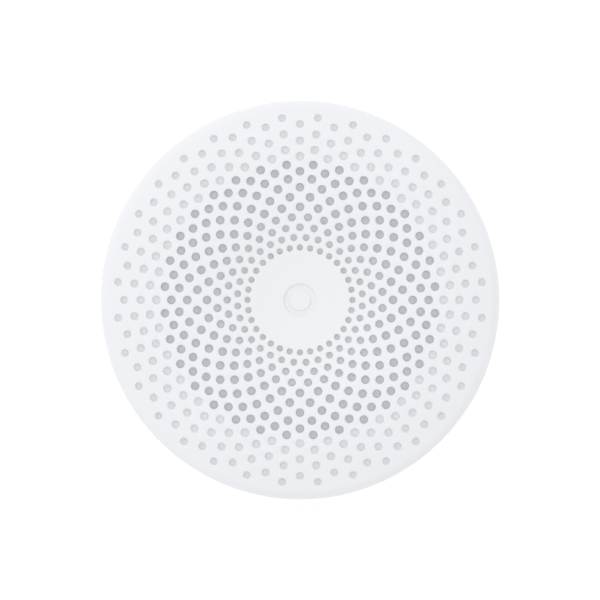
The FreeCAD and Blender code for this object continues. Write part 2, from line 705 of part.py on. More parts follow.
def speaker_cone():
    """Paper cone from the former out to a flat rim under the surround."""
    neck_r = FORMER_R + GLUE_GAP
    rim_in = CONE_R - LANDING_W
    low = LANDING_Z - PAPER_T
    return turned(outline([
        (neck_r, NECK_Z), (neck_r, NECK_Z + PAPER_T), (rim_in, LANDING_Z), (CONE_R, LANDING_Z),
        (CONE_R, low), (rim_in + PAPER_T / 3, low), (neck_r + PAPER_T, NECK_Z),
    ]))


def dust_cap():
    """Shallow dome over the coil, glued on the cone."""
    low = cone_top(CAP_R) + GLUE_GAP
    rise = FLANGE_Z - CAP_SET_DOWN - low
    sphere_r = (CAP_R**2 + rise**2) / (2 * rise)
    centre = low + rise - sphere_r
    inner_r = sphere_r - CAP_T
    half = math.degrees(math.asin(CAP_R / sphere_r))
    rim_in = math.sqrt(inner_r**2 - (low - centre) ** 2)
    inner_half = math.degrees(math.asin(rim_in / inner_r))
    middle = (0.0, centre)
    return turned([
        arc((0, centre + sphere_r), on_circle(sphere_r, middle, 90 - half / 2), (CAP_R, low)),
        line((CAP_R, low), (rim_in, low)),
        arc((rim_in, low), on_circle(inner_r, middle, 90 - inner_half / 2), (0, centre + inner_r)),
        line((0, centre + inner_r), (0, centre + sphere_r)),
    ])


def cone_surround():
    """Half roll of rubber between the flange and the lower cone rim."""
    out = ROLL_R + SURROUND_T / 2
    inside = ROLL_R - SURROUND_T / 2
    centre = (ROLL_MID, FLANGE_Z)
    roll = turned([
        arc(on_circle(out, centre, 0), on_circle(out, centre, 90), on_circle(out, centre, 180)),
        line(on_circle(out, centre, 180), on_circle(inside, centre, 180)),
        arc(on_circle(inside, centre, 180), on_circle(inside, centre, 90), on_circle(inside, centre, 0)),
        line(on_circle(inside, centre, 0), on_circle(out, centre, 0)),
    ])
    on_flange = ring(ROLL_MID + inside, DRIVER_R, FLANGE_Z, FLANGE_Z + SURROUND_T)
    leg = ring(ROLL_MID - out, ROLL_MID - inside, LANDING_Z, FLANGE_Z)
    on_cone = ring(CONE_R - LANDING_W, ROLL_MID - out, LANDING_Z, LANDING_Z + SURROUND_T)
    return roll.fuse([on_flange, leg, on_cone]).removeSplitter()


def spider():
    """Corrugated cloth ring that centres the coil: its collar stands above its landing."""
    collar_in = FORMER_R + GLUE_GAP
    collar_out = collar_in + SPIDER_COLLAR_W
    collar_z = SPIDER_Z + SPIDER_RISE
    wave_end = SPIDER_R - SHELF_W
    steps = SPIDER_WAVES * 2
    lower = [(collar_in, collar_z)]
    for i in range(steps + 1):
        share = i / steps
        lift = SPIDER_WAVE if i % 2 else 0.0
        lower.append((collar_out + (wave_end - collar_out) * share, collar_z - SPIDER_RISE * share + lift))
    lower.append((SPIDER_R, SPIDER_Z))
    upper = [(r, z + SPIDER_T) for r, z in lower]
    return turned(outline(lower + upper[::-1]))


def terminal_board():
    """Fibre tab on the side of the basket that carries the solder lugs."""
    end = SPEAKER_LEAD_R - LEAD_BEND
    low = YOKE_TOP - TERMINAL_T - GLUE_GAP
    tab = block(-end, 0, -TERMINAL_W / 2, TERMINAL_W / 2, low, low + TERMINAL_T)
    return tab.cut(disc(HUB_R + GLUE_GAP, low, low + TERMINAL_T))


def terminal_lugs():
    end = SPEAKER_LEAD_R - LEAD_BEND
    low = YOKE_TOP - 2 * GLUE_GAP - TERMINAL_T - LUG_T
    start = (HUB_R + end) / 2
    return [block(-end, -start, y - LUG_W / 2, y + LUG_W / 2, low, low + LUG_T) for y in (-LUG_Y, LUG_Y)]


def speaker_leads():
    """Two insulated wires from the lugs down to the circuit board."""
    top = YOKE_TOP - 3 * GLUE_GAP - TERMINAL_T - LUG_T - LEAD_D / 2
    start = (HUB_R + SPEAKER_LEAD_R - LEAD_BEND) / 2
    leads = []
    for y in (-LUG_Y, LUG_Y):
        corner = Vector(-SPEAKER_LEAD_R, y, top)
        points = [Vector(-start, y, top), corner, Vector(-SPEAKER_LEAD_R, y, BOARD_TOP)]
        leads.append(round_wire(points, LEAD_D / 2, LEAD_BEND))
    return leads


# ---------------------------------------------------------------- battery
def battery_cell():
    """Pouch cell, which leaves room at its +X end for the protection board."""
    x_end = CELL_X - PROTECTION_L - GLUE_GAP
    return rounded_block(-CELL_X, x_end, -CELL_Y, CELL_Y, CELL_Z, CELL_TOP, BATTERY_CORNER)


def protection_board():
    low = (CELL_Z + CELL_TOP - PROTECTION_T) / 2
    half_w = CELL_Y - PROTECTION_INSET
    return block(CELL_X - PROTECTION_L, CELL_X, -half_w, half_w, low, low + PROTECTION_T)


def battery_tape():
    x_end = CELL_X - PROTECTION_L - TAPE_INSET
    half_w = CELL_Y - TAPE_INSET
    return block(-CELL_X + TAPE_INSET, x_end, -half_w, half_w, TRAY_TOP, CELL_Z)


def battery_pad():
    return disc(YOKE_R, CELL_TOP, YOKE_Z)


def battery_tray():
    """Tray over the circuit board: plate, low rim, and three legs that the screws go through."""
    out_x = CELL_X + TRAY_GAP + TRAY_RIM_T
    out_y = CELL_Y + TRAY_GAP + TRAY_RIM_T
    rim_top = TRAY_TOP + TRAY_RIM_H
    in_x = out_x - TRAY_RIM_T
    in_y = out_y - TRAY_RIM_T
    notch = LEAD_PITCH + LEAD_D
    plate = block(-out_x, out_x, -out_y, out_y, TRAY_Z, TRAY_TOP)
    rim = block(-out_x, out_x, -out_y, out_y, TRAY_TOP, rim_top)
    well = block(-in_x, in_x, -in_y, in_y, TRAY_TOP, rim_top)
    lead_notch = block(in_x, out_x, SOCKET_Y - notch, SOCKET_Y + notch, TRAY_TOP, rim_top)
    leg = disc(POST_D / 2, BOARD_TOP, TRAY_TOP)
    arm = block(-POST_R / 3, 0, -POST_D / 2, POST_D / 2, TRAY_Z, TRAY_TOP)
    legs = leg.fuse(arm)
    legs.translate(Vector(POST_R, 0, 0))
    hole = disc(SCREW_D / 2 + SCREW_CLEARANCE, BOARD_TOP, TRAY_TOP)
    hole.translate(Vector(POST_R, 0, 0))
    head_room = disc(SCREW_HEAD_D / 2 + TRAY_GAP, TRAY_TOP, rim_top)
    head_room.translate(Vector(POST_R, 0, 0))
    tray = plate.fuse([rim.cut(well).cut(lead_notch)] + at_angles(legs, POST_ANGLES)).removeSplitter()
    return tray.cut(at_angles(hole, POST_ANGLES) + at_angles(head_room, POST_ANGLES))


def tray_screws():
    one = screw(TRAY_TOP, TRAY_SCREW_L, head_up=True)
    one.translate(Vector(POST_R, 0, 0))
    return at_angles(one, POST_ANGLES)


def socket_x():
    """Middle of the battery socket: outside the tray, towards the board's edge."""
    return CELL_X + TRAY_GAP + TRAY_RIM_T + SOCKET_SIZE[0] / 2 + TRAY_GAP


def socket_block(inset, low, high):
    """A block on the battery socket's middle, inset from its sides, between two heights over the board."""
    width, depth = SOCKET_SIZE[:2]
    return block_on(width - 2 * inset, depth - 2 * inset, high - low, socket_x(), SOCKET_Y, BOARD_TOP + low)


def battery_socket():
    height = SOCKET_SIZE[2]
    return socket_block(0, 0, height).cut(socket_block(SOCKET_WALL, SOCKET_WALL, height))


def battery_plug():
    height = SOCKET_SIZE[2]
    inset = SOCKET_WALL + GLUE_GAP
    stem = socket_block(inset, inset, height + GLUE_GAP)
    lip = socket_block(0, height + GLUE_GAP, height + GLUE_GAP + PLUG_LIP)
    return stem.fuse(lip).removeSplitter()


def battery_leads():
    middle = (CELL_Z + CELL_TOP) / 2
    plug_top = BOARD_TOP + SOCKET_SIZE[2] + GLUE_GAP + PLUG_LIP
    bend = min(LEAD_BEND, 0.8 * (middle - plug_top), 0.8 * (socket_x() - CELL_X))
    leads = []
    for y in (SOCKET_Y - LEAD_PITCH / 2, SOCKET_Y + LEAD_PITCH / 2):
        points = [Vector(CELL_X, y, middle), Vector(socket_x(), y, middle), Vector(socket_x(), y, plug_top)]
        leads.append(round_wire(points, LEAD_D / 2, bend))
    return leads


# ---------------------------------------------------------------- circuit board
def circuit_board():
    board = disc(BOARD_R, BOARD_Z, BOARD_TOP)
    hole = disc(SCREW_D / 2 + SCREW_CLEARANCE, BOARD_Z, BOARD_TOP)
    hole.translate(Vector(POST_R, 0, 0))
    return board.cut(at_angles(hole, POST_ANGLES))


def chip(name):
    """A package with a pin-one dimple."""
    width, depth, height, x, y = CHIPS[name]
    body = block_on(width, depth, height, x, y, BOARD_TOP)
    dimple = disc(0.3, BOARD_TOP + height - 0.1, BOARD_TOP + height)
    dimple.translate(Vector(x - width / 2 + 0.8, y + depth / 2 - 0.8, 0))
    return body.cut(dimple)


def capacitors():
    width, depth, height = CAPACITOR_SIZE
    places = [(-12.0 + 2.4 * i, 10.0) for i in range(5)] + [(-3.0, -10.5 + 1.6 * i) for i in range(4)]
    return [block_on(width, depth, height, x, y, BOARD_TOP) for x, y in places]


def resistors():
    width, depth, height = PASSIVE_SIZE
    places = [(5.0 + 1.6 * i, 9.0) for i in range(4)] + [(-11.5, -3.0 + 1.2 * i) for i in range(5)]
    return [block_on(width, depth, height, x, y, BOARD_TOP) for x, y in places]


def antenna():
    width, depth, height = ANTENNA_SIZE
    return turned_by(block_on(width, depth, height, BOARD_R - ANTENNA_INSET, 0, BOARD_TOP), ANTENNA_ANGLE)


def usb_profile(inset, y_low, y_high):
    """Receptacle section with its two lower corners cut off, as a bar along Y."""
    half = USB_W / 2 - inset
    low = BOARD_TOP + inset
    high = BOARD_TOP + USB_H - inset
    cut = USB_CHAMFER
    right = [(half - cut, low), (half, low + cut), (half, high)]
    left = [(-x, z) for x, z in right[::-1]]
    corners = [Vector(x, y_low, z) for x, z in right + left]
    wire = Part.makePolygon(corners + corners[:1])
    return Part.Face(wire).extrude(Vector(0, y_high - y_low, 0))


def usb_shell():
    back = -USB_MOUTH + USB_L
    return usb_profile(0, -USB_MOUTH, back).cut(usb_profile(USB_SHEET, -USB_MOUTH, back - USB_SHEET))


def usb_tongue():
    """Insulator: a block at the back of the shell and the tongue that holds the contacts."""
    back = -USB_MOUTH + USB_L - USB_SHEET - GLUE_GAP
    room_end = -USB_MOUTH + USB_PLUG_ROOM
    half_w = USB_TONGUE_W / 2
    low = USB_Z + USB_TONGUE_LIFT
    base = usb_profile(USB_SHEET + GLUE_GAP, room_end, back)
    tongue = block(-half_w, half_w, -USB_MOUTH + USB_TONGUE_INSET, room_end, low, low + USB_TONGUE_T)
    return base.fuse(tongue).removeSplitter()


def usb_contacts():
    """Five strips under the tongue."""
    width, length, thickness, pitch = USB_CONTACT
    low = USB_Z + USB_TONGUE_LIFT - GLUE_GAP - thickness
    middle = -USB_MOUTH + USB_PLUG_ROOM - GLUE_GAP - length / 2
    return [block_on(width, length, thickness, pitch * i, middle, low) for i in range(-2, 3)]


def status_led():
    radial, across, high = LED_SIZE
    led = block_on(radial, across, high, BOARD_R - LED_INSET, 0, BOARD_TOP)
    return turned_by(led, LED_ANGLE)


def light_guide():
    """Clear rod from the light to the outside, flat where it lies on the board."""
    start = BOARD_R - LED_INSET + LED_SIZE[0] / 2 + SEAT_GAP
    end = outer_wall(LIGHT_Z - GUIDE_D / 2) - GUIDE_RECESS
    rod = radial_cylinder(GUIDE_D / 2, start, end, LIGHT_Z, LED_ANGLE)
    return rod.cut(disc(BOARD_R, 0, BOARD_TOP))


def microphone():
    back = BOARD_R - MIC_INSET
    return radial_cylinder(MIC_D / 2, back, back + MIC_L, MIC_Z, MIC_ANGLE)


def mic_boot():
    """Rubber boot that joins the microphone to its sound hole."""
    back = BOARD_R - MIC_INSET
    floor = back + MIC_L + GLUE_GAP
    front = floor + BOOT_T
    nose_end = inner_wall(MIC_Z - BOOT_NOSE_D / 2) - GLUE_GAP
    body = radial_cylinder(MIC_D / 2 + BOOT_T, back, front, MIC_Z, MIC_ANGLE)
    nose = radial_cylinder(BOOT_NOSE_D / 2, front, nose_end, MIC_Z, MIC_ANGLE)
    seat = radial_cylinder(MIC_D / 2 + GLUE_GAP, back, floor, MIC_Z, MIC_ANGLE)
    channel = radial_cylinder(SOUND_HOLE_D / 2, back, nose_end, MIC_Z, MIC_ANGLE)
    return body.fuse(nose).removeSplitter().cut([seat, channel])


# ---------------------------------------------------------------- switch
def switch_body():
    """Housing soldered under the board, with a well for the dome and the plunger's flange."""
    low = SWITCH_Z + SWITCH_COVER_T
    body = block_on(SWITCH_W, SWITCH_W, BOARD_Z - low, 0, 0, low)
    return body.cut(disc(well_radius(), low, BOARD_Z - SWITCH_ROOF_T))


def well_radius():
    return PLUNGER_R + PLUNGER_FLANGE_W + PLUNGER_GAP


def switch_cover():
    plate = block_on(SWITCH_W, SWITCH_W, SWITCH_COVER_T, 0, 0, SWITCH_Z)
    return plate.cut(disc(PLUNGER_R + PLUNGER_GAP, SWITCH_Z, SWITCH_Z + SWITCH_COVER_T))


def switch_plunger():
    """Pin that the button pushes, with a flange that the cover holds in."""
    pin = disc(PLUNGER_R, PLUNGER_TIP, PLUNGER_TOP)
    flange = disc(PLUNGER_R + PLUNGER_FLANGE_W, PLUNGER_TOP - PLUNGER_FLANGE_T, PLUNGER_TOP)
    return pin.fuse(flange).removeSplitter()


def switch_dome():
    """Thin snap disc bowed down on to the plunger. The button's travel flattens it."""
    radius = well_radius() - GLUE_GAP
    sphere_r = (radius**2 + BUTTON_TRAVEL**2) / (2 * BUTTON_TRAVEL)
    centre = Vector(0, 0, DOME_Z + sphere_r)
    shell = Part.makeSphere(sphere_r, centre).cut(Part.makeSphere(sphere_r - DOME_T, centre))
    return shell.common(disc(radius, DOME_Z - DOME_T, DOME_EDGE_Z))


PIECES = [
    top_grille, dust_cloth, lower_shell, foot_ring, function_button,
    driver_gasket, clamp_ring, clamp_screws, driver_basket, magnet_yoke, driver_magnet, pole_plate,
    coil_former, voice_coil, speaker_cone, dust_cap, cone_surround, spider,
    terminal_board, terminal_lugs, speaker_leads,
    battery_cell, protection_board, battery_tape, battery_pad, battery_tray, tray_screws,
    battery_socket, battery_plug, battery_leads,
    circuit_board, capacitors, resistors, antenna, usb_shell, usb_tongue, usb_contacts,
    status_led, light_guide, microphone, mic_boot,
    switch_body, switch_cover, switch_plunger, switch_dome,
]


def write(name, shape):
    if isinstance(shape, list):
        shape = Part.makeCompound(shape)
    solids = shape.Solids
    if not solids or not all(s.isValid() and s.isClosed() and s.Volume > 0 for s in solids):
        raise ValueError(name + " is not made of closed solids")
    clean = solids[0] if len(solids) == 1 else Part.makeCompound(solids)
    clean.exportStep("parts/" + name + ".step")


def main():
    os.makedirs("parts", exist_ok=True)
    for piece in PIECES:
        write(piece.__name__, piece())
    for name in CHIPS:
        write(name, chip(name))


main()
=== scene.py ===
"""Looks of a pocket puck speaker, laid out as an add-on and run as a script.

Metres, +Z up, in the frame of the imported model. The charging port looks along -Y.
"""

import math

import bmesh
import bpy
from bpy.props import FloatProperty, FloatVectorProperty, IntProperty, PointerProperty
from mathutils import Matrix, Vector


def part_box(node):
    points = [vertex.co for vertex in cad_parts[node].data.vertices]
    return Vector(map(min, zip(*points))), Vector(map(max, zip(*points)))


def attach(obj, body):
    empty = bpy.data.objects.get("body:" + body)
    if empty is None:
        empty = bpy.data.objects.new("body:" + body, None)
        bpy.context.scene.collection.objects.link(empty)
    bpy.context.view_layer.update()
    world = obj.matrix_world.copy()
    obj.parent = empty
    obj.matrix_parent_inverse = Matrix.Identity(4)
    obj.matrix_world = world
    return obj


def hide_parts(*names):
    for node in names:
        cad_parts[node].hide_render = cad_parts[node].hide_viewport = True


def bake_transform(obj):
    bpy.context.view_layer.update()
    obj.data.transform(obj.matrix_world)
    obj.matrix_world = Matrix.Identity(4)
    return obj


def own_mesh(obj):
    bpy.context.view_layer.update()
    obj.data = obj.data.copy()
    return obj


bl_info = {
    "name": "Puck Speaker",
    "version": (1, 0, 0),
    "blender": (4, 5, 0),
    "location": "3D View > Sidebar > Puck",
    "description": "Models and paints a pocket speaker with a dished, perforated top",
    "category": "Add Mesh",
}

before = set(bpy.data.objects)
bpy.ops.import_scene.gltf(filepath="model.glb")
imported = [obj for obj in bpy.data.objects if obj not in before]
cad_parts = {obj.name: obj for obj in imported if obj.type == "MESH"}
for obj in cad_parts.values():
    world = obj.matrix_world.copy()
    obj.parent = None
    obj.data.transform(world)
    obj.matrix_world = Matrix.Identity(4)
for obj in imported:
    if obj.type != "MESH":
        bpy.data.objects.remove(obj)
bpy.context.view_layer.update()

MM = 0.001
COLUMNS = 6  # steps along a ring that one hole's cell spans
WELD = 5e-7  # points nearer than this are one
FINE = 128  # steps round the axis of a large round piece
ROUND = 96  # steps round the axis of a smaller one
CORNER_SHARE = 0.45  # of the shorter edge at a corner, the most that its round may take
GLUE = 0.02 * MM  # film between glued parts of the driver
LAND = 0.03 * MM  # between a hole's rounded mouth and the border of its cell
LAST_LAND = 0.25 * MM  # between the last holes and the outer border of their cells
MARK_ROUND = 0.06 * MM  # round along the edges of the pressed ring
BOSS_SINK = 0.1 * MM  # how far a screw boss runs into the cover
BOSS_ANGLE = 45  # degrees from +X to the first screw boss
OFF_GRID = 0.04  # radians that keep a boss's corners off the cover's own, for a clean union
COLLAR_W = 0.5 * MM  # flat width of the spider's collar
STEPS_PER_WAVE = 8
FOAM_ROUND = 0.1 * MM
CLOTH_PITCH = 0.16 * MM  # from thread to thread
PAINTED_LIGHT_FULL_R = 7.5 * MM  # the cloth keeps its middle colour, painted light that lifts the shade in the small inner holes, up to here
PAINTED_LIGHT_END_R = 12.5 * MM  # and has its own colour from here, without painted light


# ---------------------------------------------------------------- places read from the frame
def lowest(node):
    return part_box(node)[0]


def highest(node):
    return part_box(node)[1]


OUTER_R = highest("top_grille").x
COVER_LOW = lowest("top_grille").z
COVER_TOP = highest("top_grille").z
GASKET_R = highest("driver_gasket").x
GASKET_LOW = lowest("driver_gasket").z
GASKET_TOP = highest("driver_gasket").z
CLAMP_TOP = highest("clamp_ring").z
SCREW_TOP = highest("clamp_screws").z
TONGUE_TOP = highest("lower_shell").z
CLOTH_R = highest("dust_cloth").x
FOOT_R = highest("foot_ring").x
FOOT_TOP = highest("foot_ring").z
KEY_R = highest("function_button").x
KEY_LOW = lowest("function_button").z
KEY_TOP = highest("function_button").z
SURROUND_LOW = lowest("cone_surround").z
SURROUND_TOP = highest("cone_surround").z
FLANGE_Z = highest("driver_basket").z
SPIDER_LOW = lowest("spider").z
SPIDER_R = highest("spider").x
FORMER_R = highest("coil_former").x
DOME_LOW = lowest("switch_dome").z
DOME_TOP = highest("switch_dome").z
DOME_R = highest("switch_dome").x
PAD_LOW = lowest("battery_pad").z
PAD_TOP = highest("battery_pad").z
PAD_R = highest("battery_pad").x


# ---------------------------------------------------------------- sizes and colours
def length(name, value, description):
    """A length in metres."""
    return FloatProperty(
        name=name, description=description, default=value, min=0, precision=5,
        subtype="DISTANCE", unit="LENGTH",
    )


def count(name, value, description):
    return IntProperty(name=name, description=description, default=value, min=1)


def colour(name, value, description):
    """A linear colour."""
    return FloatVectorProperty(
        name=name, description=description, default=value, size=3, min=0, max=1, subtype="COLOR"
    )


class PuckTop(bpy.types.PropertyGroup):
    """Sizes of the perforated cover and the cloth under it."""

    dish_depth: length("Dish depth", 1.5 * MM, "From the crest down to the middle of the top")
    crest_r: length("Crest radius", 16.2 * MM, "Radius of the highest circle of the top")
    inflection_r: length("Inflection radius", 9.5 * MM, "Where the hollow turns into the crown")
    edge_round: length("Edge round", 1.6 * MM, "Round between top and side")
    wall: length("Wall", 1.6 * MM, "Side wall of the cover")
    cover_t: length("Cover thickness", 1.1 * MM, "Top of the cover outside its open field")
    field_t: length("Field thickness", 0.8 * MM, "Top of the cover where its holes are open")
    holes: count("Holes in a ring", 32, "Holes in each ring")
    open_rings: count("Open rings", 10, "Rings of holes that go through")
    blind_rings: count("Blind rings", 6, "Rings of blind holes")
    first_ring_r: length("First ring", 7.1 * MM, "Radius of the innermost ring of holes")
    rim_margin: length("Rim margin", 2.3 * MM, "From the last ring to the outside")
    rib_margin: length("Rib margin", 0.11 * MM, "From the last open holes to the inner rib")
    wide_gap: length("Wide gap", 1.37 * MM, "Between the first open rings")
    narrow_gap: length("Narrow gap", 0.94 * MM, "Between the last open rings, and inside a blind pair")
    narrowing_starts: count("Narrowing starts", 4, "Gap from which the open rings close up")
    narrowing_length: count("Narrowing length", 4, "Gaps that the closing up takes")
    pair_gap: length("Pair gap", 1.08 * MM, "From the open rings to the first pair of blind rings")
    pair_growth: length("Pair growth", 0.115 * MM, "How much further apart each next pair stands")
    first_hole_d: length("First hole", 0.82 * MM, "Diameter of the innermost holes")
    hole_step: length("Hole step", 0.085 * MM, "Growth of the open holes from ring to ring")
    open_hole_d: length("Open hole", 1.155 * MM, "Diameter of the largest holes")
    blind_step: length("Blind step", 0.03 * MM, "Shrinkage of the blind holes from ring to ring")
    blind_depth: length("Blind depth", 0.58 * MM, "Depth of the blind holes")
    mouth_round: length("Mouth round", 0.07 * MM, "Round at the mouth of each hole")
    mark_r: length("Mark radius", 2.2 * MM, "Outside of the plain ring pressed into the middle")
    mark_w: length("Mark width", 0.8 * MM, "Width of that ring")
    mark_depth: length("Mark depth", 0.25 * MM, "Depth of that ring")
    tongue_t: length("Tongue thickness", 0.7 * MM, "Lip of the bowl that the cover slips over")
    tongue_gap: length("Tongue gap", 0.05 * MM, "Between that lip and the cover")
    seam_round: length("Seam round", 0.15 * MM, "Round along the seam")
    rib_t: length("Rib thickness", 1.4 * MM, "Inner rib that presses on the driver's gasket")
    bosses: count("Screw bosses", 4, "Bosses for the clamp ring's screws")
    boss_r: length("Boss circle", 22.6 * MM, "Radius on which the screw bosses stand")
    boss_d: length("Boss diameter", 3.6 * MM, "Screw boss")
    pilot_d: length("Pilot diameter", 1.64 * MM, "Hole in a screw boss")
    pilot_spare: length("Pilot spare", 0.3 * MM, "Depth of that hole beyond the screw's tip")
    glue: length("Glue film", 0.05 * MM, "Between the cover and the cloth")
    cloth_t: length("Cloth thickness", 0.2 * MM, "Acoustic cloth")


class PuckParts(bpy.types.PropertyGroup):
    """Sizes of the other pieces modelled here."""

    foot_w: length("Foot width", 4.9 * MM, "Width of the foot ring")
    foot_round: length("Foot round", 0.35 * MM, "Round along the foot's edges")
    key_r: length("Key radius", 5.8 * MM, "Radius of the key's face")
    key_dish: length("Key dish", 0.17 * MM, "Depth of the finger dimple in the key")
    key_round: length("Key round", 0.3 * MM, "Round along the key's edge")
    key_flange_t: length("Key flange", 0.7 * MM, "Thickness of the flange that holds the key in")
    key_post_r: length("Key post radius", 1.5 * MM, "Post that meets the switch")
    key_post_h: length("Key post height", 0.5 * MM, "Post above the flange")
    roll_mid_r: length("Roll radius", 16.8 * MM, "Middle of the surround's half roll")
    rubber_t: length("Surround thickness", 0.3 * MM, "Rubber of the surround")
    landing_r: length("Landing radius", 14.0 * MM, "Inside of the surround's landing on the cone")
    spider_t: length("Spider thickness", 0.2 * MM, "Stiffened cloth that centres the coil")
    spider_rise: length("Spider rise", 0.5 * MM, "From the spider's landing up to its collar")
    spider_wave: length("Spider wave", 0.2 * MM, "Height of the spider's waves")
    spider_shelf: length("Spider shelf", 1.8 * MM, "Glued width of the spider")
    spider_waves: count("Spider waves", 3, "Waves of the spider")
    dome_t: length("Dome thickness", 0.06 * MM, "Snap disc of the switch")


class PuckColours(bpy.types.PropertyGroup):
    """Colours of the finishes that show."""

    shell: colour("Shell", (0.845, 0.858, 0.882), "Moulded housing")
    cloth: colour("Cloth", (0.745, 0.775, 0.80), "Acoustic cloth under the outer holes")
    # painted light: the near-white middle of the cloth lifts the shade that falls in the small inner holes
    cloth_painted_light: colour("Cloth middle", (0.97, 0.98, 0.99), "Acoustic cloth under the innermost holes")
    silicone: colour("Silicone", (0.62, 0.63, 0.66), "Foot")
    key: colour("Key", (0.78, 0.80, 0.83), "Function key")
    floor: colour("Floor", (0.9, 0.9, 0.9), "Table")


# ---------------------------------------------------------------- curves of the top
def top_arcs(top):
    """Radius and centre height of the hollow's arc, and of the crown's arc."""
    both = (top.crest_r**2 + top.dish_depth**2) / (2 * top.dish_depth)
    hollow = top.inflection_r * both / top.crest_r
    crown = both - hollow
    return hollow, COVER_TOP - top.dish_depth + hollow, crown, COVER_TOP - crown


def top_z(top, r, depth=0.0):
    """Height at radius r of the cover's top, or of the surface that lies depth below it."""
    hollow, hollow_z, crown, crown_z = top_arcs(top)
    if r <= top.inflection_r * (hollow + depth) / hollow:
        return hollow_z - math.sqrt((hollow + depth) ** 2 - r**2)
    return crown_z + math.sqrt((crown - depth) ** 2 - (r - top.crest_r) ** 2)


def top_run(top, start, end, steps, depth=0.0):
    """Profile points along the top, or along the surface depth below it."""
    radii = [start + (end - start) * i / steps for i in range(steps + 1)]
    return [(r, top_z(top, r, depth)) for r in radii]


def spread(start, end, gaps):
    """Radii from start to end, spaced in proportion to the gaps."""
    share = (end - start) / sum(gaps)
    radii = [start]
    for gap in gaps:
        radii.append(radii[-1] + gap * share)
    return radii


def ring_radii(top):
    """Radius of each ring of holes. Open rings close up outwards, and blind rings stand in pairs."""
    open_gaps = []
    for i in range(top.open_rings - 1):
        t = min(max((i - top.narrowing_starts) / top.narrowing_length, 0.0), 1.0)
        open_gaps.append(top.wide_gap - (top.wide_gap - top.narrow_gap) * t * t * (3 - 2 * t))
    blind_gaps = []
    for i in range(top.blind_rings):
        blind_gaps.append(top.narrow_gap if i % 2 else top.pair_gap + top.pair_growth * i / 2)
    last_open = GASKET_R - top.rib_t - top.rib_margin - top.open_hole_d / 2
    open_radii = spread(top.first_ring_r, last_open, open_gaps)
    return open_radii + spread(last_open, OUTER_R - top.rim_margin, blind_gaps)[1:]


def hole_radius(top, ring):
    if ring < top.open_rings:
        return min(top.first_hole_d + top.hole_step * ring, top.open_hole_d) / 2
    return (top.open_hole_d - top.blind_step * (ring - top.open_rings)) / 2


# ---------------------------------------------------------------- modelling
def start_clean():
    """Object mode with nothing selected, so that what follows acts on new geometry only."""
    if bpy.context.mode != "OBJECT":
        bpy.ops.object.mode_set(mode="OBJECT")
    bpy.ops.object.select_all(action="DESELECT")


def take(obj):
    """Makes obj the only selected object."""
    start_clean()
    obj.select_set(True)
    bpy.context.view_layer.objects.active = obj


def edit(obj, select="EDGE"):
    take(obj)
    bpy.ops.object.mode_set(mode="EDIT")
    bpy.ops.mesh.select_mode(type=select)


def drawn(name, mesh):
    """A new object at the origin from drawn points and edges."""
    obj = bpy.data.objects.new(name, bpy.data.meshes.new(name))
    mesh.to_mesh(obj.data)
    mesh.free()
    bpy.context.collection.objects.link(obj)
    take(obj)
    return obj


def arc(centre, radius, start, end, steps):
    """Profile points on an arc. Angles are in degrees from the outward direction."""
    turns = [math.radians(start + (end - start) * i / steps) for i in range(steps + 1)]
    return [(centre[0] + radius * math.cos(t), centre[1] + radius * math.sin(t)) for t in turns]


def rounded(corners, radius, closed=False, steps=3):
    """Profile points with the corners rounded off. A closed profile ends on its first point."""
    points = []
    for i, corner in enumerate(corners):
        if not closed and i in (0, len(corners) - 1):
            points.append(tuple(corner))
            continue
        here = Vector(corner)
        back = Vector(corners[i - 1]) - here
        ahead = Vector(corners[(i + 1) % len(corners)]) - here
        reach = min(radius, back.length * CORNER_SHARE, ahead.length * CORNER_SHARE)
        a = here + back.normalized() * reach
        b = here + ahead.normalized() * reach
        for k in range(steps + 1):
            t = k / steps
            points.append(tuple(a * (1 - t) ** 2 + here * 2 * t * (1 - t) + b * t * t))
    return points + points[:1] if closed else points


def spun(name, profiles, steps):
    """Profiles of (radius, height) points, turned once round the Z axis."""
    mesh = bmesh.new()
    for points in profiles:
        verts = [mesh.verts.new((r, 0, z)) for r, z in points]
        for a, b in zip(verts, verts[1:]):
            mesh.edges.new((a, b))
    obj = drawn(name, mesh)
    edit(obj, "VERT")
    bpy.ops.mesh.select_all(action="SELECT")
    bpy.ops.mesh.spin(steps=steps, angle=2 * math.pi, center=(0, 0, 0), axis=(0, 0, 1))
    weld()
    return obj


def weld():
    """Merges doubled points of the object in edit mode, and turns its faces outwards."""
    bpy.ops.mesh.select_all(action="SELECT")
    bpy.ops.mesh.remove_doubles(threshold=WELD)
    bpy.ops.mesh.select_all(action="SELECT")
    bpy.ops.mesh.dissolve_degenerate(threshold=WELD)
    bpy.ops.mesh.select_all(action="SELECT")
    bpy.ops.mesh.normals_make_consistent(inside=False)
    bpy.ops.object.mode_set(mode="OBJECT")


def smooth(obj, degrees=50, area_weight=90):
    """Smooth shading where faces meet at less than the angle, led by the larger faces."""
    take(obj)
    bpy.ops.object.shade_smooth_by_angle(angle=math.radians(degrees))
    led = obj.modifiers.new("led", "WEIGHTED_NORMAL")
    led.keep_sharp = True
    led.weight = area_weight
    bpy.ops.object.modifier_apply(modifier=led.name)


def finish_piece(obj, material, slot, *nodes):
    """Gives a piece its material and hides the CAD nodes that it stands for."""
    obj.data.materials.clear()
    obj.data.materials.append(material)
    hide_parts(*nodes)


# ---------------------------------------------------------------- materials
def new_material(name):
    """A material, its node tree, its shader, and the piece's own coordinates."""
    material = bpy.data.materials.new(name)
    material.use_nodes = True
    tree = material.node_tree
    place = tree.nodes.new("ShaderNodeTexCoord").outputs["Object"]
    return material, tree, tree.nodes["Principled BSDF"], place


def maths(tree, operation, first, second=0.0):
    """Result of a math node. Each of the two is an output or a number."""
    node = tree.nodes.new("ShaderNodeMath")
    node.operation = operation
    for socket, value in zip(node.inputs, (first, second)):
        if isinstance(value, bpy.types.NodeSocket):
            tree.links.new(value, socket)
        else:
            socket.default_value = value
    return node.outputs["Value"]


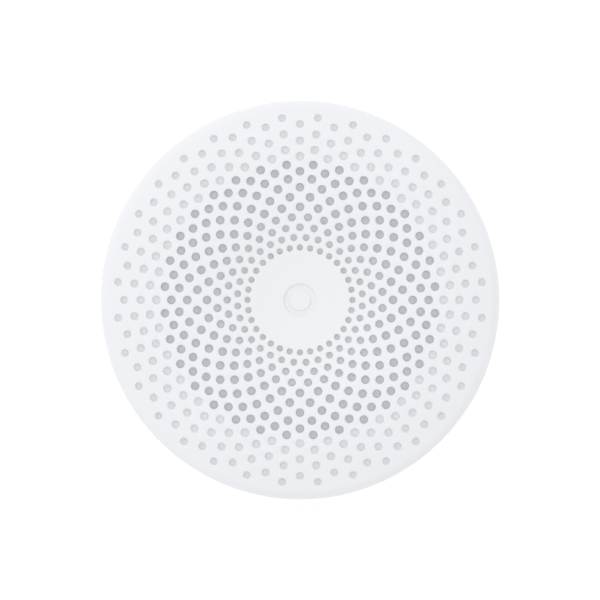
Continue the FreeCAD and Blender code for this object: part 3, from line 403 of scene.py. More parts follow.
def noise(tree, place, size, detail=2.0, stretch=(1, 1, 1)):
    """Noise with grains about size metres across, drawn out along the axes that stretch shrinks."""
    mapping = tree.nodes.new("ShaderNodeMapping")
    mapping.inputs["Scale"].default_value = [axis / size for axis in stretch]
    tree.links.new(place, mapping.inputs["Vector"])
    node = tree.nodes.new("ShaderNodeTexNoise")
    node.inputs["Scale"].default_value = 1.0
    node.inputs["Detail"].default_value = detail
    tree.links.new(mapping.outputs["Vector"], node.inputs["Vector"])
    return node.outputs["Fac"]


def remap(tree, value, start, end):
    """Turns 0..1 into start..end."""
    return maths(tree, "ADD", maths(tree, "MULTIPLY", value, end - start), start)


def relief(tree, shader, height, depth):
    """Bump of the given depth in metres."""
    node = tree.nodes.new("ShaderNodeBump")
    node.inputs["Distance"].default_value = depth
    tree.links.new(height, node.inputs["Height"])
    tree.links.new(node.outputs["Normal"], shader.inputs["Normal"])


def tint(tree, shader, share, dark, light):
    """Base colour from dark to light as share goes from 0 to 1."""
    node = tree.nodes.new("ShaderNodeMix")
    node.data_type = "RGBA"
    node.inputs["A"].default_value = (*dark, 1)
    node.inputs["B"].default_value = (*light, 1)
    tree.links.new(share, node.inputs["Factor"])
    tree.links.new(node.outputs["Result"], shader.inputs["Base Color"])


def paint_light_near_axis(tree, shader, place, middle):
    """Lays another colour over the base colour near the Z axis; the cloth uses it for painted light. middle
    is that colour and two radii.
    """
    rgb, full_r, end_r = middle
    radius = tree.nodes.new("ShaderNodeVectorMath")
    radius.operation = "LENGTH"
    flat = tree.nodes.new("ShaderNodeVectorMath")
    flat.operation = "MULTIPLY"
    flat.inputs[1].default_value = (1, 1, 0)
    tree.links.new(place, flat.inputs[0])
    tree.links.new(flat.outputs["Vector"], radius.inputs[0])
    ramp = tree.nodes.new("ShaderNodeMapRange")
    ramp.inputs["From Min"].default_value = full_r
    ramp.inputs["From Max"].default_value = end_r
    ramp.inputs["To Min"].default_value = 1.0
    ramp.inputs["To Max"].default_value = 0.0
    tree.links.new(radius.outputs["Value"], ramp.inputs["Value"])
    over = tree.nodes.new("ShaderNodeMix")
    over.data_type = "RGBA"
    over.inputs["B"].default_value = (*rgb, 1)
    tree.links.new(shader.inputs["Base Color"].links[0].from_socket, over.inputs["A"])
    tree.links.new(ramp.outputs["Result"], over.inputs["Factor"])
    tree.links.new(over.outputs["Result"], shader.inputs["Base Color"])


def dim(rgb, factor):
    return tuple(min(channel * factor, 1.0) for channel in rgb)


def moulded(name, rgb, roughness=0.5, grain=0.11 * MM, depth=0.8e-6, drift=0.012, flow=8 * MM):
    """Moulded plastic: fine spark-eroded grain, and faint flow in its colour and gloss."""
    material, tree, shader, place = new_material(name)
    tint(tree, shader, noise(tree, place, flow, 3), dim(rgb, 1 - drift), dim(rgb, 1 + drift))
    fine = noise(tree, place, grain, 3)
    tree.links.new(remap(tree, fine, roughness - 0.08, roughness + 0.08), shader.inputs["Roughness"])
    relief(tree, shader, fine, depth)
    shader.inputs["Specular IOR Level"].default_value = 0.25
    return material


def rubbery(name, rgb, roughness=0.72, grain=0.16 * MM, depth=1.5e-6, cloud=4 * MM):
    """Rubber or foam: dull and pebbled, with cloudy colour."""
    material, tree, shader, place = new_material(name)
    cells = tree.nodes.new("ShaderNodeTexVoronoi")
    cells.inputs["Scale"].default_value = 1 / grain
    tree.links.new(place, cells.inputs["Vector"])
    clouds = noise(tree, place, cloud, 4)
    tint(tree, shader, clouds, dim(rgb, 0.92), dim(rgb, 1.06))
    tree.links.new(remap(tree, clouds, roughness - 0.06, roughness + 0.08), shader.inputs["Roughness"])
    relief(tree, shader, cells.outputs["Distance"], depth)
    shader.inputs["Sheen Weight"].default_value = 0.15
    return material


def metallic(name, rgb, roughness=0.32, stretch=(1, 1, 1), grain=0.25 * MM, depth=0.5e-6, cloud=3 * MM):
    """Rolled, turned or plated metal: grain along one direction, and cloudy gloss."""
    material, tree, shader, place = new_material(name)
    lines = noise(tree, place, grain, 4, stretch)
    clouds = noise(tree, place, cloud, 3)
    tint(tree, shader, clouds, dim(rgb, 0.92), dim(rgb, 1.05))
    tree.links.new(remap(tree, lines, roughness - 0.1, roughness + 0.1), shader.inputs["Roughness"])
    relief(tree, shader, lines, depth)
    shader.inputs["Metallic"].default_value = 1.0
    return material


def woven(name, rgb, pitch, contrast=0.06, depth=4e-6, roughness=0.9, middle=None):
    """Plain weave: two crossed sets of threads, with slubs, and in some pieces a paler middle, which is
    painted light.
    """
    material, tree, shader, place = new_material(name)
    split = tree.nodes.new("ShaderNodeSeparateXYZ")
    tree.links.new(place, split.inputs["Vector"])
    waves = []
    for axis in ("X", "Y"):
        waves.append(maths(tree, "SINE", maths(tree, "MULTIPLY", split.outputs[axis], math.pi / pitch)))
    threads = maths(tree, "ABSOLUTE", maths(tree, "MULTIPLY", waves[0], waves[1]))
    slubs = noise(tree, place, pitch * 4, 3)
    share = maths(tree, "ADD", maths(tree, "MULTIPLY", threads, 0.6), maths(tree, "MULTIPLY", slubs, 0.4))
    tint(tree, shader, share, dim(rgb, 1 - contrast), dim(rgb, 1 + contrast))
    # painted light: a lighter middle that lifts the shade in the small inner holes
    if middle:
        paint_light_near_axis(tree, shader, place, middle)
    tree.links.new(remap(tree, slubs, roughness - 0.06, roughness + 0.06), shader.inputs["Roughness"])
    relief(tree, shader, threads, depth)
    shader.inputs["Sheen Weight"].default_value = 0.15
    return material


def laminate(name, rgb, roughness=0.35, grain=0.5 * MM, patch=1.6 * MM, depth=2e-6):
    """Circuit board: lacquer over a woven core, with copper areas showing through as paler patches."""
    material, tree, shader, place = new_material(name)
    patches = tree.nodes.new("ShaderNodeTexVoronoi")
    patches.distance = "MANHATTAN"
    patches.inputs["Scale"].default_value = 1 / patch
    tree.links.new(place, patches.inputs["Vector"])
    clouds = noise(tree, place, grain, 3)
    share = maths(tree, "ADD", maths(tree, "MULTIPLY", patches.outputs["Distance"], 0.7), clouds)
    tint(tree, shader, share, dim(rgb, 0.8), dim(rgb, 1.35))
    tree.links.new(remap(tree, clouds, roughness - 0.1, roughness + 0.1), shader.inputs["Roughness"])
    relief(tree, shader, share, depth)
    return material


def clear(name, rgb, roughness=0.08, grain=0.8 * MM, depth=1e-6):
    """Clear moulded plastic with faint flow lines."""
    material, tree, shader, place = new_material(name)
    flow = noise(tree, place, grain, 3, (1, 1, 0.3))
    tint(tree, shader, flow, dim(rgb, 0.97), rgb)
    tree.links.new(remap(tree, flow, roughness - 0.04, roughness + 0.08), shader.inputs["Roughness"])
    relief(tree, shader, flow, depth)
    shader.inputs["Transmission Weight"].default_value = 0.85
    shader.inputs["IOR"].default_value = 1.49
    return material


BLACK = (0.022, 0.022, 0.024)

# Finish of each material slot: the maker's kind, colour and further settings.
FINISHES = {
    "inner_plastic": (moulded, (0.3, 0.31, 0.32), {"roughness": 0.55}),
    "connector_white": (moulded, (0.78, 0.76, 0.7), {"roughness": 0.45}),
    "tape_white": (moulded, (0.74, 0.73, 0.7), {"roughness": 0.6, "drift": 0.04}),
    "chip_black": (moulded, BLACK, {"roughness": 0.6, "drift": 0.15, "depth": 2e-6}),
    "tongue_black": (moulded, BLACK, {"roughness": 0.5, "drift": 0.1}),
    "ceramic_tan": (moulded, (0.42, 0.28, 0.16), {"roughness": 0.45, "drift": 0.08}),
    "antenna_ceramic": (moulded, (0.72, 0.7, 0.66), {"roughness": 0.4, "drift": 0.03}),
    "ferrite_grey": (moulded, (0.07, 0.07, 0.075), {"roughness": 0.65, "drift": 0.15, "depth": 3e-6}),
    "led_white": (moulded, (0.88, 0.87, 0.78), {"roughness": 0.25}),
    "fibre_board": (moulded, (0.3, 0.17, 0.08), {"roughness": 0.75, "drift": 0.15, "depth": 4e-6}),
    "lead_black": (moulded, BLACK, {"roughness": 0.4, "drift": 0.1}),
    "lead_red": (moulded, (0.45, 0.02, 0.02), {"roughness": 0.4, "drift": 0.06}),
    "foam_black": (rubbery, (0.03, 0.03, 0.033), {"roughness": 0.9, "grain": 0.3 * MM, "depth": 2e-5}),
    "boot_rubber": (rubbery, (0.035, 0.035, 0.038), {}),
    "surround_rubber": (rubbery, (0.028, 0.028, 0.03), {"roughness": 0.55}),
    "screw_steel": (metallic, (0.55, 0.56, 0.58), {"roughness": 0.3}),
    "basket_steel": (metallic, (0.2, 0.2, 0.21), {"roughness": 0.45}),
    "zinc_steel": (metallic, (0.6, 0.62, 0.65), {"roughness": 0.3}),
    "magnet_nickel": (metallic, (0.66, 0.64, 0.6), {"roughness": 0.2}),
    "copper_wire": (
        metallic, (0.72, 0.32, 0.14), {"roughness": 0.3, "stretch": (0.2, 0.2, 4), "depth": 6e-6},
    ),
    "tinned_brass": (metallic, (0.7, 0.66, 0.55), {"roughness": 0.35}),
    "port_steel": (metallic, (0.62, 0.62, 0.63), {"roughness": 0.25, "stretch": (1, 0.15, 1)}),
    "gold_contact": (metallic, (0.86, 0.62, 0.26), {"roughness": 0.22}),
    "mic_can": (metallic, (0.66, 0.65, 0.62), {"roughness": 0.3}),
    "pouch_foil": (metallic, (0.62, 0.63, 0.65), {"roughness": 0.38, "grain": 0.9 * MM, "depth": 6e-6}),
    "former_film": (woven, (0.48, 0.27, 0.09), {"pitch": 0.2 * MM, "roughness": 0.5}),
    "cone_paper": (woven, (0.05, 0.05, 0.052), {"pitch": 0.35 * MM, "depth": 1e-5}),
    "cap_film": (rubbery, (0.04, 0.04, 0.042), {"roughness": 0.35}),
    "spider_cloth": (woven, (0.5, 0.3, 0.1), {"pitch": 0.35 * MM, "contrast": 0.15, "depth": 2e-5}),
    "board_green": (laminate, (0.02, 0.11, 0.055), {}),
    "clear_guide": (clear, (0.95, 0.96, 0.97), {}),
}


def finish_of(slot):
    """The finish of a material slot, made once."""
    made = bpy.data.materials.get("finish_" + slot)
    if made:
        return made
    maker, rgb, settings = FINISHES[slot]
    return maker("finish_" + slot, rgb, **settings)


def shell_finish(context):
    """The housing's white plastic, made once for both shells."""
    made = bpy.data.materials.get("shell_plastic")
    return made or moulded("shell_plastic", context.scene.puck_colours.shell)


def repaint(*nodes):
    """Gives CAD nodes that stay the finish of the slot that each was packed with."""
    for name in nodes:
        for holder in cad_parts[name].material_slots:
            holder.material = finish_of(holder.material.name.split(".")[0])


# ---------------------------------------------------------------- perforated cover
def cell_borders(top):
    """Borders between the rings of cells: mean radius, and the swing round it that makes room for holes."""
    radii = ring_radii(top)
    borders = [((3 * radii[0] - radii[1]) / 2, 0.0)]
    for ring in range(1, len(radii)):
        half_gap = (radii[ring] - radii[ring - 1]) / 2
        room = max(hole_radius(top, ring - 1), hole_radius(top, ring)) + top.mouth_round + LAND
        borders.append((radii[ring - 1] + half_gap, max(0.0, room - half_gap)))
    borders.append((radii[-1] + hole_radius(top, len(radii) - 1) + LAST_LAND, 0.0))
    return borders


def cell_border(top, borders, ring, depth):
    """Points round the cell of a ring's first hole, on the surface depth below the top."""
    half = COLUMNS // 2
    centre = half * (ring % 2)
    turn = 2 * math.pi / (top.holes * COLUMNS)

    def radius(index, column):
        mean, swing = borders[index]
        phase = half * ((index - 1) % 2)
        return mean + swing * math.cos(2 * math.pi * (column - phase) / COLUMNS)

    def point(r, column):
        return (r * math.cos(turn * column), r * math.sin(turn * column), top_z(top, r, depth))

    side = (radius(ring, centre + half) + radius(ring + 1, centre + half)) / 2
    columns = range(centre - half, centre + half + 1)
    outer = [point(radius(ring + 1, column), column) for column in reversed(columns)]
    inner = [point(radius(ring, column), column) for column in columns]
    return [point(side, centre + half), *outer, point(side, centre - half), *inner]


def hole_loop(top, ring, radius, sides, height):
    """Points round a ring's first hole, in step with its cell's border. height turns a radius into z."""
    turn = math.pi / top.holes * (ring % 2)
    outward = Vector((math.cos(turn), math.sin(turn)))
    along = Vector((-outward.y, outward.x))
    loop = []
    for i in range(sides):
        angle = 2 * math.pi * i / sides
        spot = outward * (radius + hole_radius(top, ring) * math.sin(angle))
        spot += along * hole_radius(top, ring) * math.cos(angle)
        loop.append((spot.x, spot.y, height(spot.length)))
    return loop


def hole_sector(top):
    """One hole of each ring: its cell of the top, its wall, and its floor or its cell of the underside."""
    mesh = bmesh.new()
    borders = cell_borders(top)
    under = borders[: top.open_rings] + [(GASKET_R - top.rib_t, 0.0)]

    def loop_of(points):
        return [mesh.verts.new(point) for point in points]

    def band(first, second):
        for i in range(len(first)):
            j = (i + 1) % len(first)
            mesh.faces.new((first[i], first[j], second[j], second[i]))

    for ring, radius in enumerate(ring_radii(top)):
        border = loop_of(cell_border(top, borders, ring, 0.0))
        sides = len(border)
        mouth = loop_of(hole_loop(top, ring, radius, sides, lambda r: top_z(top, r)))
        band(border, mouth)
        if ring < top.open_rings:
            foot = loop_of(hole_loop(top, ring, radius, sides, lambda r: top_z(top, r, top.field_t)))
            band(mouth, foot)
            band(foot, loop_of(cell_border(top, under, ring, top.field_t)))
        else:
            floor_z = top_z(top, radius) - top.blind_depth
            foot = loop_of(hole_loop(top, ring, radius, sides, lambda r, z=floor_z: z))
            band(mouth, foot)
            mesh.faces.new(foot)
        for i in range(sides):
            mesh.edges.get((mouth[i], mouth[i - 1])).select_set(True)
    return drawn("grille_cover", mesh)


def field(top):
    """The perforated field: a sector with its hole mouths rounded, copied once round the axis."""
    obj = hole_sector(top)
    edit(obj)
    bpy.ops.mesh.bevel(offset=top.mouth_round, offset_type="OFFSET", segments=2, affect="EDGES")
    bpy.ops.mesh.select_all(action="SELECT")
    turn = 2 * math.pi * (top.holes - 1) / top.holes
    bpy.ops.mesh.spin(steps=top.holes - 1, angle=turn, dupli=True, center=(0, 0, 0), axis=(0, 0, 1))
    bpy.ops.object.mode_set(mode="OBJECT")
    return obj


def centre_profiles(top):
    """Top and underside of the cover inside the first ring of holes."""
    edge = cell_borders(top)[0][0]
    mark_in = top.mark_r - top.mark_w
    floor_z = top_z(top, 0) - top.mark_depth
    inside = top_run(top, 0, mark_in, steps=6)
    outside = top_run(top, top.mark_r, edge, steps=14)
    groove = [inside[-2], inside[-1], (mark_in, floor_z), (top.mark_r, floor_z), outside[0], outside[1]]
    upper = inside[:-2] + rounded(groove, MARK_ROUND, steps=4) + outside[2:]
    return [upper, top_run(top, 0, edge, steps=10, depth=top.field_t)]


def rim_profile(top):
    """Outside of the cover from the last border down to the seam, and back inside up to the rib."""
    start = cell_borders(top)[-1][0]
    crown, crown_z = top_arcs(top)[2:]
    edge_r = OUTER_R - top.edge_round
    inside = crown - top.edge_round
    edge_z = crown_z + math.sqrt(inside**2 - (edge_r - top.crest_r) ** 2)
    lean = math.degrees(math.acos((edge_r - top.crest_r) / inside))
    shoulder = top.crest_r + crown * math.cos(math.radians(lean))
    outside = top_run(top, start, shoulder, steps=3)[:-1]
    outside += arc((edge_r, edge_z), top.edge_round, lean, 0, steps=12)
    inner_r = OUTER_R - top.wall
    rebate_r = inner_r + top.tongue_t + top.tongue_gap
    rebate_top = TONGUE_TOP + top.tongue_gap
    ceiling = top_run(top, inner_r, GASKET_R, steps=6, depth=top.cover_t)
    rebate = [(rebate_r, COVER_LOW), (rebate_r, rebate_top), (inner_r, rebate_top)]
    side = [outside[-1], (OUTER_R, COVER_LOW), *rebate]
    rib_in = GASKET_R - top.rib_t
    rib = [(GASKET_R, GASKET_TOP), (rib_in, GASKET_TOP), (rib_in, top_z(top, rib_in, top.field_t))]
    return outside[:-1] + rounded(side + ceiling[:1], top.seam_round) + ceiling[1:] + rib


def screw_boss(top, angle):
    """One tube for a clamp screw, with its top sunk into the cover."""
    outer = top.boss_d / 2
    pilot = top.pilot_d / 2
    roof = SCREW_TOP + top.pilot_spare
    hole = [(0, roof), (pilot, roof), (pilot, CLAMP_TOP)]
    obj = spun("screw_boss", [hole + [(outer, CLAMP_TOP), (outer, COVER_TOP), (0, COVER_TOP)]], 32)
    off_grid = Matrix.Rotation(OFF_GRID, 4, "Z")
    obj.data.transform(Matrix.Rotation(angle, 4, "Z") @ Matrix.Translation((top.boss_r, 0, 0)) @ off_grid)
    for vertex in obj.data.vertices:
        if vertex.co.z > COVER_TOP - WELD:
            vertex.co.z = top_z(top, vertex.co.xy.length, top.cover_t) + BOSS_SINK
    return obj


def add_bosses(cover, top):
    """Grows the screw bosses on to the inside of the cover."""
    for i in range(top.bosses):
        boss = screw_boss(top, math.radians(BOSS_ANGLE + 360 * i / top.bosses))
        take(cover)
        union = cover.modifiers.new("boss", "BOOLEAN")
        union.operation = "UNION"
        union.solver = "MANIFOLD"
        union.object = boss
        bpy.ops.object.modifier_apply(modifier=union.name)
        bpy.data.objects.remove(boss)


class PUCK_OT_cover(bpy.types.Operator):
    """Dished and perforated cover, with its pressed ring, edge round, seam and screw bosses"""

    bl_idname = "puck.cover"
    bl_label = "Cover"

    def execute(self, context):
        top = context.scene.puck_top
        cover = field(top)
        turned = spun("turned", [*centre_profiles(top), rim_profile(top)], top.holes * COLUMNS)
        take(cover)
        turned.select_set(True)
        bpy.ops.object.join()
        edit(cover, "VERT")
        weld()
        add_bosses(cover, top)
        smooth(cover)
        finish_piece(cover, shell_finish(context), "shell_white", "top_grille")
        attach(cover, "housing")
        return {"FINISHED"}


class PUCK_OT_cloth(bpy.types.Operator):
    """Acoustic cloth stretched under the open holes"""

    bl_idname = "puck.cloth"
    bl_label = "Acoustic cloth"

    def execute(self, context):
        top = context.scene.puck_top
        upper = top_run(top, 0, CLOTH_R, steps=20, depth=top.field_t + top.glue)
        lower = top_run(top, 0, CLOTH_R, steps=20, depth=top.field_t + top.glue + top.cloth_t)
        cloth = spun("acoustic_cloth", [upper + lower[::-1]], ROUND)
        smooth(cloth)
        colours = context.scene.puck_colours
        # painted light: the cloth is lighter near the axis, which lifts the shade in the small inner holes
        middle = (colours.cloth_painted_light, PAINTED_LIGHT_FULL_R, PAINTED_LIGHT_END_R)
        material = woven("cloth_weave", colours.cloth, pitch=CLOTH_PITCH, middle=middle)
        finish_piece(cloth, material, "grey_cloth", "dust_cloth")
        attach(cloth, "housing")
        return {"FINISHED"}


class PUCK_OT_shell(bpy.types.Operator):
    """Finish of the lower shell, which keeps its CAD shape"""

    bl_idname = "puck.shell"
    bl_label = "Lower shell"

    def execute(self, context):
        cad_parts["lower_shell"].material_slots[0].material = shell_finish(context)
        return {"FINISHED"}


class PUCK_OT_foot(bpy.types.Operator):
    """Silicone foot ring"""

    bl_idname = "puck.foot"
    bl_label = "Foot"

    def execute(self, context):
        parts = context.scene.puck_parts
        inner = FOOT_R - parts.foot_w
        corners = [(inner, 0), (FOOT_R, 0), (FOOT_R, FOOT_TOP), (inner, FOOT_TOP)]
        foot = spun("foot_ring_soft", [rounded(corners, parts.foot_round, closed=True, steps=4)], FINE)
        smooth(foot)
        material = rubbery("foot_silicone", context.scene.puck_colours.silicone, roughness=0.6)
        finish_piece(foot, material, "foot_silicone", "foot_ring")
        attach(foot, "housing")
        return {"FINISHED"}


class PUCK_OT_key(bpy.types.Operator):
    """Function key with its finger dimple, flange and post"""

    bl_idname = "puck.key"
    bl_label = "Function key"

    def execute(self, context):
        parts = context.scene.puck_parts
        steps = 12
        face = []
        for i in range(steps + 1):
            r = parts.key_r * i / steps
            face.append((r, KEY_LOW + parts.key_dish * (1 - (r / parts.key_r) ** 2)))
        flange_top = KEY_TOP - parts.key_post_h
        flange_low = flange_top - parts.key_flange_t
        flange = [(parts.key_r, flange_low), (KEY_R, flange_low), (KEY_R, flange_top)]
        post = [(parts.key_post_r, flange_top), (parts.key_post_r, KEY_TOP), (0, KEY_TOP)]
        corners = [*face[-2:], *flange, *post]
        key = spun("function_key", [face[:-2] + rounded(corners, parts.key_round, steps=4)], ROUND)
        smooth(key)
        material = rubbery("key_silicone", context.scene.puck_colours.key, roughness=0.5, depth=0.8e-6)
        finish_piece(key, material, "button_white", "function_button")
        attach(key, "button")
        return {"FINISHED"}


class PUCK_OT_suspension(bpy.types.Operator):
    """Rubber surround and corrugated spider, modelled at rest; in use they bend with the cone"""

    bl_idname = "puck.suspension"
    bl_label = "Cone suspension"

    def surround(self, parts):
        mid = parts.roll_mid_r
        outer = SURROUND_TOP - FLANGE_Z
        inner = outer - parts.rubber_t
        foot = math.degrees(math.asin(parts.rubber_t / outer))
        roll = (mid, FLANGE_Z)
        landing_z = SURROUND_LOW + parts.rubber_t
        profile = [(GASKET_R, FLANGE_Z), *arc(roll, inner, 0, 180, steps=20)]
        profile += [(mid - inner, SURROUND_LOW), (parts.landing_r, SURROUND_LOW)]
        profile += [(parts.landing_r, landing_z), (mid - outer, landing_z)]
        profile += arc(roll, outer, 180, foot, steps=20)
        profile += [(GASKET_R, FLANGE_Z + parts.rubber_t), (GASKET_R, FLANGE_Z)]
        piece = spun("surround_roll", [profile], FINE)
        smooth(piece)
        finish_piece(piece, finish_of("surround_rubber"), "surround_rubber", "cone_surround")
        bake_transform(piece)

    def spider(self, parts):
        collar_in = FORMER_R + GLUE
        collar_z = SPIDER_LOW + parts.spider_rise
        wave_start = collar_in + COLLAR_W
        wave_end = SPIDER_R - parts.spider_shelf
        steps = STEPS_PER_WAVE * parts.spider_waves
        lower = [(collar_in, collar_z)]
        for i in range(steps + 1):
            share = i / steps
            lift = parts.spider_wave * (1 - math.cos(2 * math.pi * parts.spider_waves * share)) / 2
            height = collar_z - parts.spider_rise * share + lift
            lower.append((wave_start + (wave_end - wave_start) * share, height))
        lower.append((SPIDER_R, SPIDER_LOW))
        upper = [(r, z + parts.spider_t) for r, z in lower]
        piece = spun("centring_spider", [lower + upper[::-1] + lower[:1]], ROUND)
        smooth(piece)
        finish_piece(piece, finish_of("spider_cloth"), "spider_cloth", "spider")
        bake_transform(piece)

    def execute(self, context):
        parts = context.scene.puck_parts
        self.surround(parts)
        self.spider(parts)
        return {"FINISHED"}


class PUCK_OT_snap_dome(bpy.types.Operator):
    """Snap disc of the switch, modelled domed; in use the plunger flattens it"""

    bl_idname = "puck.snap_dome"
    bl_label = "Snap dome"

    def execute(self, context):
        parts = context.scene.puck_parts
        bow = DOME_TOP - DOME_LOW - parts.dome_t
        steps = 8
        lower = [(DOME_R * i / steps, DOME_LOW + bow * (i / steps) ** 2) for i in range(steps + 1)]
        upper = [(r, z + parts.dome_t) for r, z in lower]
        dome = spun("snap_dome", [lower + upper[::-1]], ROUND // 2)
        smooth(dome)
        finish_piece(dome, finish_of("port_steel"), "port_steel", "switch_dome")
        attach(dome, "housing")
        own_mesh(dome)
        return {"FINISHED"}


class PUCK_OT_foams(bpy.types.Operator):
    """Foam gasket round the driver and foam pad on the battery"""

    bl_idname = "puck.foams"
    bl_label = "Foams"

    def execute(self, context):
        rib_in = GASKET_R - context.scene.puck_top.rib_t
        gasket = [(rib_in, GASKET_LOW), (GASKET_R, GASKET_LOW)]
        gasket += [(GASKET_R, GASKET_TOP), (rib_in, GASKET_TOP)]
        pad = [(0, PAD_LOW), (PAD_R, PAD_LOW), (PAD_R, PAD_TOP), (0, PAD_TOP)]
        for name, profile, node in (
            ("gasket_foam", rounded(gasket, FOAM_ROUND, closed=True), "driver_gasket"),
            ("battery_foam", rounded(pad, FOAM_ROUND), "battery_pad"),
        ):
            foam = spun(name, [profile], ROUND)
            smooth(foam)
            finish_piece(foam, finish_of("foam_black"), "foam_black", node)
            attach(foam, "housing")
        return {"FINISHED"}


class PUCK_OT_driver(bpy.types.Operator):
    """Finishes of the driver's CAD parts"""

    bl_idname = "puck.driver"
    bl_label = "Driver"

    def execute(self, context):
        repaint(
            "clamp_ring", "clamp_screws", "driver_basket", "magnet_yoke", "driver_magnet", "pole_plate",
            "coil_former", "voice_coil", "speaker_cone", "dust_cap", "terminal_board", "terminal_lugs",
            "speaker_leads",
        )
        return {"FINISHED"}


class PUCK_OT_battery(bpy.types.Operator):
    """Finishes of the battery's CAD parts"""

    bl_idname = "puck.battery"
    bl_label = "Battery"

    def execute(self, context):
        repaint(
            "battery_cell", "protection_board", "battery_tape", "battery_tray", "tray_screws",
            "battery_socket", "battery_plug", "battery_leads",
        )
        return {"FINISHED"}


class PUCK_OT_board(bpy.types.Operator):
    """Finishes of the circuit board, its chips, port, light, microphone and switch"""

    bl_idname = "puck.board"
    bl_label = "Circuit board"

    def execute(self, context):
        repaint(
            "circuit_board", "capacitors", "resistors", "antenna", "usb_shell", "usb_tongue",
            "usb_contacts", "status_led", "light_guide", "microphone", "mic_boot", "switch_body",
            "switch_cover", "switch_plunger", "radio_chip", "amplifier_chip", "charger_chip",
            "memory_chip", "crystal", "power_inductor",
        )
        return {"FINISHED"}


# ---------------------------------------------------------------- stage
TABLE_SIZE = 6.0
TABLE_DROP = 0.02 * MM  # keeps the table's face clear of the foot's
TABLE_CLOUD = 60 * MM  # size of the faint patches in its colour
LIGHT_PLACE = Vector((-0.36, 0.44, 0.5))
LIGHT_SIZE = 0.6
LENS = 400  # millimetres, as is the sensor
SENSOR = 36
NEAREST = 0.01  # the camera sees nothing nearer


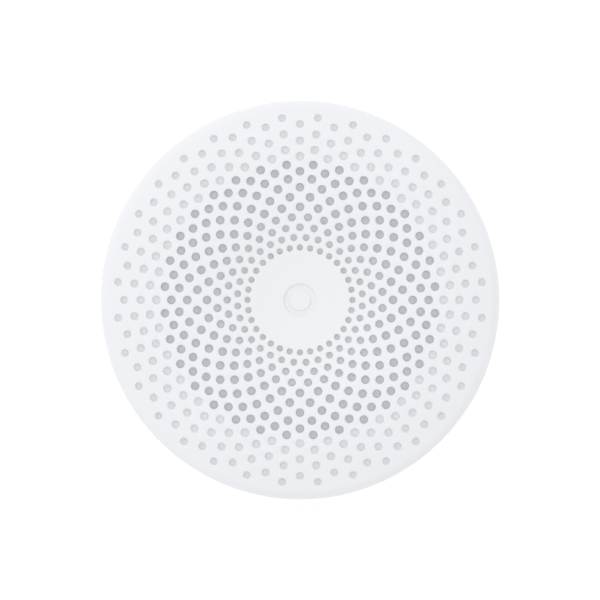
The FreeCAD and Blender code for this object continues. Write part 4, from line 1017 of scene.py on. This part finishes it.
class PUCK_OT_stage(bpy.types.Operator):
    """White table, soft light from the upper left, and a camera straight above"""

    bl_idname = "puck.stage"
    bl_label = "Stage"

    view_width: length("View width", 81 * MM, "Width that the camera takes in at the cover's top")
    glow: FloatProperty(name="Glow", description="Light that the table gives off", default=0.22, min=0)
    walls: FloatProperty(name="Walls", description="Light of the room at eye level", default=0.72, min=0)
    ceiling: FloatProperty(name="Ceiling", description="Further light straight above", default=0.42, min=0)
    lean: FloatProperty(name="Lean", description="Further light at the upper left", default=0.15, min=0)
    key: FloatProperty(name="Key", description="Watts of the soft light", default=0.16, min=0)

    def table(self, context):
        start_clean()
        bpy.ops.mesh.primitive_plane_add(size=TABLE_SIZE, location=(0, 0, -TABLE_DROP))
        table = context.active_object
        table.name = "table"
        material, tree, shader, place = new_material("table_white")
        rgb = context.scene.puck_colours.floor
        tint(tree, shader, noise(tree, place, TABLE_CLOUD), dim(rgb, 0.995), dim(rgb, 1.005))
        shader.inputs["Roughness"].default_value = 0.9
        shader.inputs["Emission Color"].default_value = (1, 1, 1, 1)
        shader.inputs["Emission Strength"].default_value = self.glow
        sheer = tree.nodes.new("ShaderNodeBsdfTransparent")
        sides = tree.nodes.new("ShaderNodeMixShader")
        tree.links.new(tree.nodes.new("ShaderNodeNewGeometry").outputs["Backfacing"], sides.inputs["Fac"])
        tree.links.new(shader.outputs["BSDF"], sides.inputs[1])
        tree.links.new(sheer.outputs["BSDF"], sides.inputs[2])
        tree.links.new(sides.outputs["Shader"], tree.nodes["Material Output"].inputs["Surface"])
        table.data.materials.append(material)

    def lights(self, context):
        world = bpy.data.worlds.new("white_room")
        context.scene.world = world
        world.use_nodes = True
        tree = world.node_tree
        direction = tree.nodes.new("ShaderNodeTexCoord").outputs["Generated"]
        toward = tree.nodes.new("ShaderNodeVectorMath")
        toward.operation = "DOT_PRODUCT"
        toward.inputs[1].default_value = Vector((LIGHT_PLACE.x, LIGHT_PLACE.y, 0)).normalized()
        tree.links.new(direction, toward.inputs[0])
        axes = tree.nodes.new("ShaderNodeSeparateXYZ")
        tree.links.new(direction, axes.inputs["Vector"])
        above = maths(tree, "MAXIMUM", axes.outputs["Z"])
        level = maths(tree, "ADD", maths(tree, "MULTIPLY", above, self.ceiling), self.walls)
        level = maths(tree, "ADD", maths(tree, "MULTIPLY", toward.outputs["Value"], self.lean), level)
        back = tree.nodes["Background"]
        back.inputs["Color"].default_value = (1, 1, 1, 1)
        tree.links.new(level, back.inputs["Strength"])
        bpy.ops.object.light_add(type="AREA", location=LIGHT_PLACE)
        light = context.active_object
        light.name = "soft_light"
        light.rotation_euler = (-LIGHT_PLACE).to_track_quat("-Z", "Y").to_euler()
        light.data.size = LIGHT_SIZE
        light.data.energy = self.key

    def camera(self, context):
        camera = bpy.data.objects.new("camera", bpy.data.cameras.new("camera"))
        context.collection.objects.link(camera)
        camera.data.lens = LENS
        camera.data.sensor_width = SENSOR
        camera.data.clip_start = NEAREST
        camera.location = (0, 0, COVER_TOP + self.view_width * LENS / SENSOR)
        context.scene.camera = camera

    def execute(self, context):
        self.table(context)
        self.lights(context)
        self.camera(context)
        context.scene.view_settings.view_transform = "Standard"
        return {"FINISHED"}


PIECES = (
    PUCK_OT_cover, PUCK_OT_cloth, PUCK_OT_shell, PUCK_OT_foot, PUCK_OT_key, PUCK_OT_suspension,
    PUCK_OT_snap_dome, PUCK_OT_foams, PUCK_OT_driver, PUCK_OT_battery, PUCK_OT_board, PUCK_OT_stage,
)


class PUCK_PT_panel(bpy.types.Panel):
    """Buttons for the speaker's pieces and its stage"""

    bl_idname = "PUCK_PT_panel"
    bl_label = "Puck Speaker"
    bl_space_type = "VIEW_3D"
    bl_region_type = "UI"
    bl_category = "Puck"

    def draw(self, context):
        for piece in PIECES:
            self.layout.operator(piece.bl_idname)
        for group in (context.scene.puck_top, context.scene.puck_parts, context.scene.puck_colours):
            box = self.layout.box()
            for name in group.__annotations__:
                box.prop(group, name)


GROUPS = {"puck_top": PuckTop, "puck_parts": PuckParts, "puck_colours": PuckColours}


def register():
    for group in GROUPS.values():
        bpy.utils.register_class(group)
    for piece in PIECES:
        bpy.utils.register_class(piece)
    bpy.utils.register_class(PUCK_PT_panel)
    for name, group in GROUPS.items():
        setattr(bpy.types.Scene, name, PointerProperty(type=group))


def unregister():
    for name in GROUPS:
        delattr(bpy.types.Scene, name)
    bpy.utils.unregister_class(PUCK_PT_panel)
    for piece in reversed(PIECES):
        bpy.utils.unregister_class(piece)
    for group in GROUPS.values():
        bpy.utils.unregister_class(group)


def main():
    register()
    bpy.ops.puck.cover()
    bpy.ops.puck.cloth()
    bpy.ops.puck.shell()
    bpy.ops.puck.foot()
    bpy.ops.puck.key()
    bpy.ops.puck.suspension()
    bpy.ops.puck.snap_dome()
    bpy.ops.puck.foams()
    bpy.ops.puck.driver()
    bpy.ops.puck.battery()
    bpy.ops.puck.board()
    bpy.ops.puck.stage()


if __name__ == "__main__":
    main()
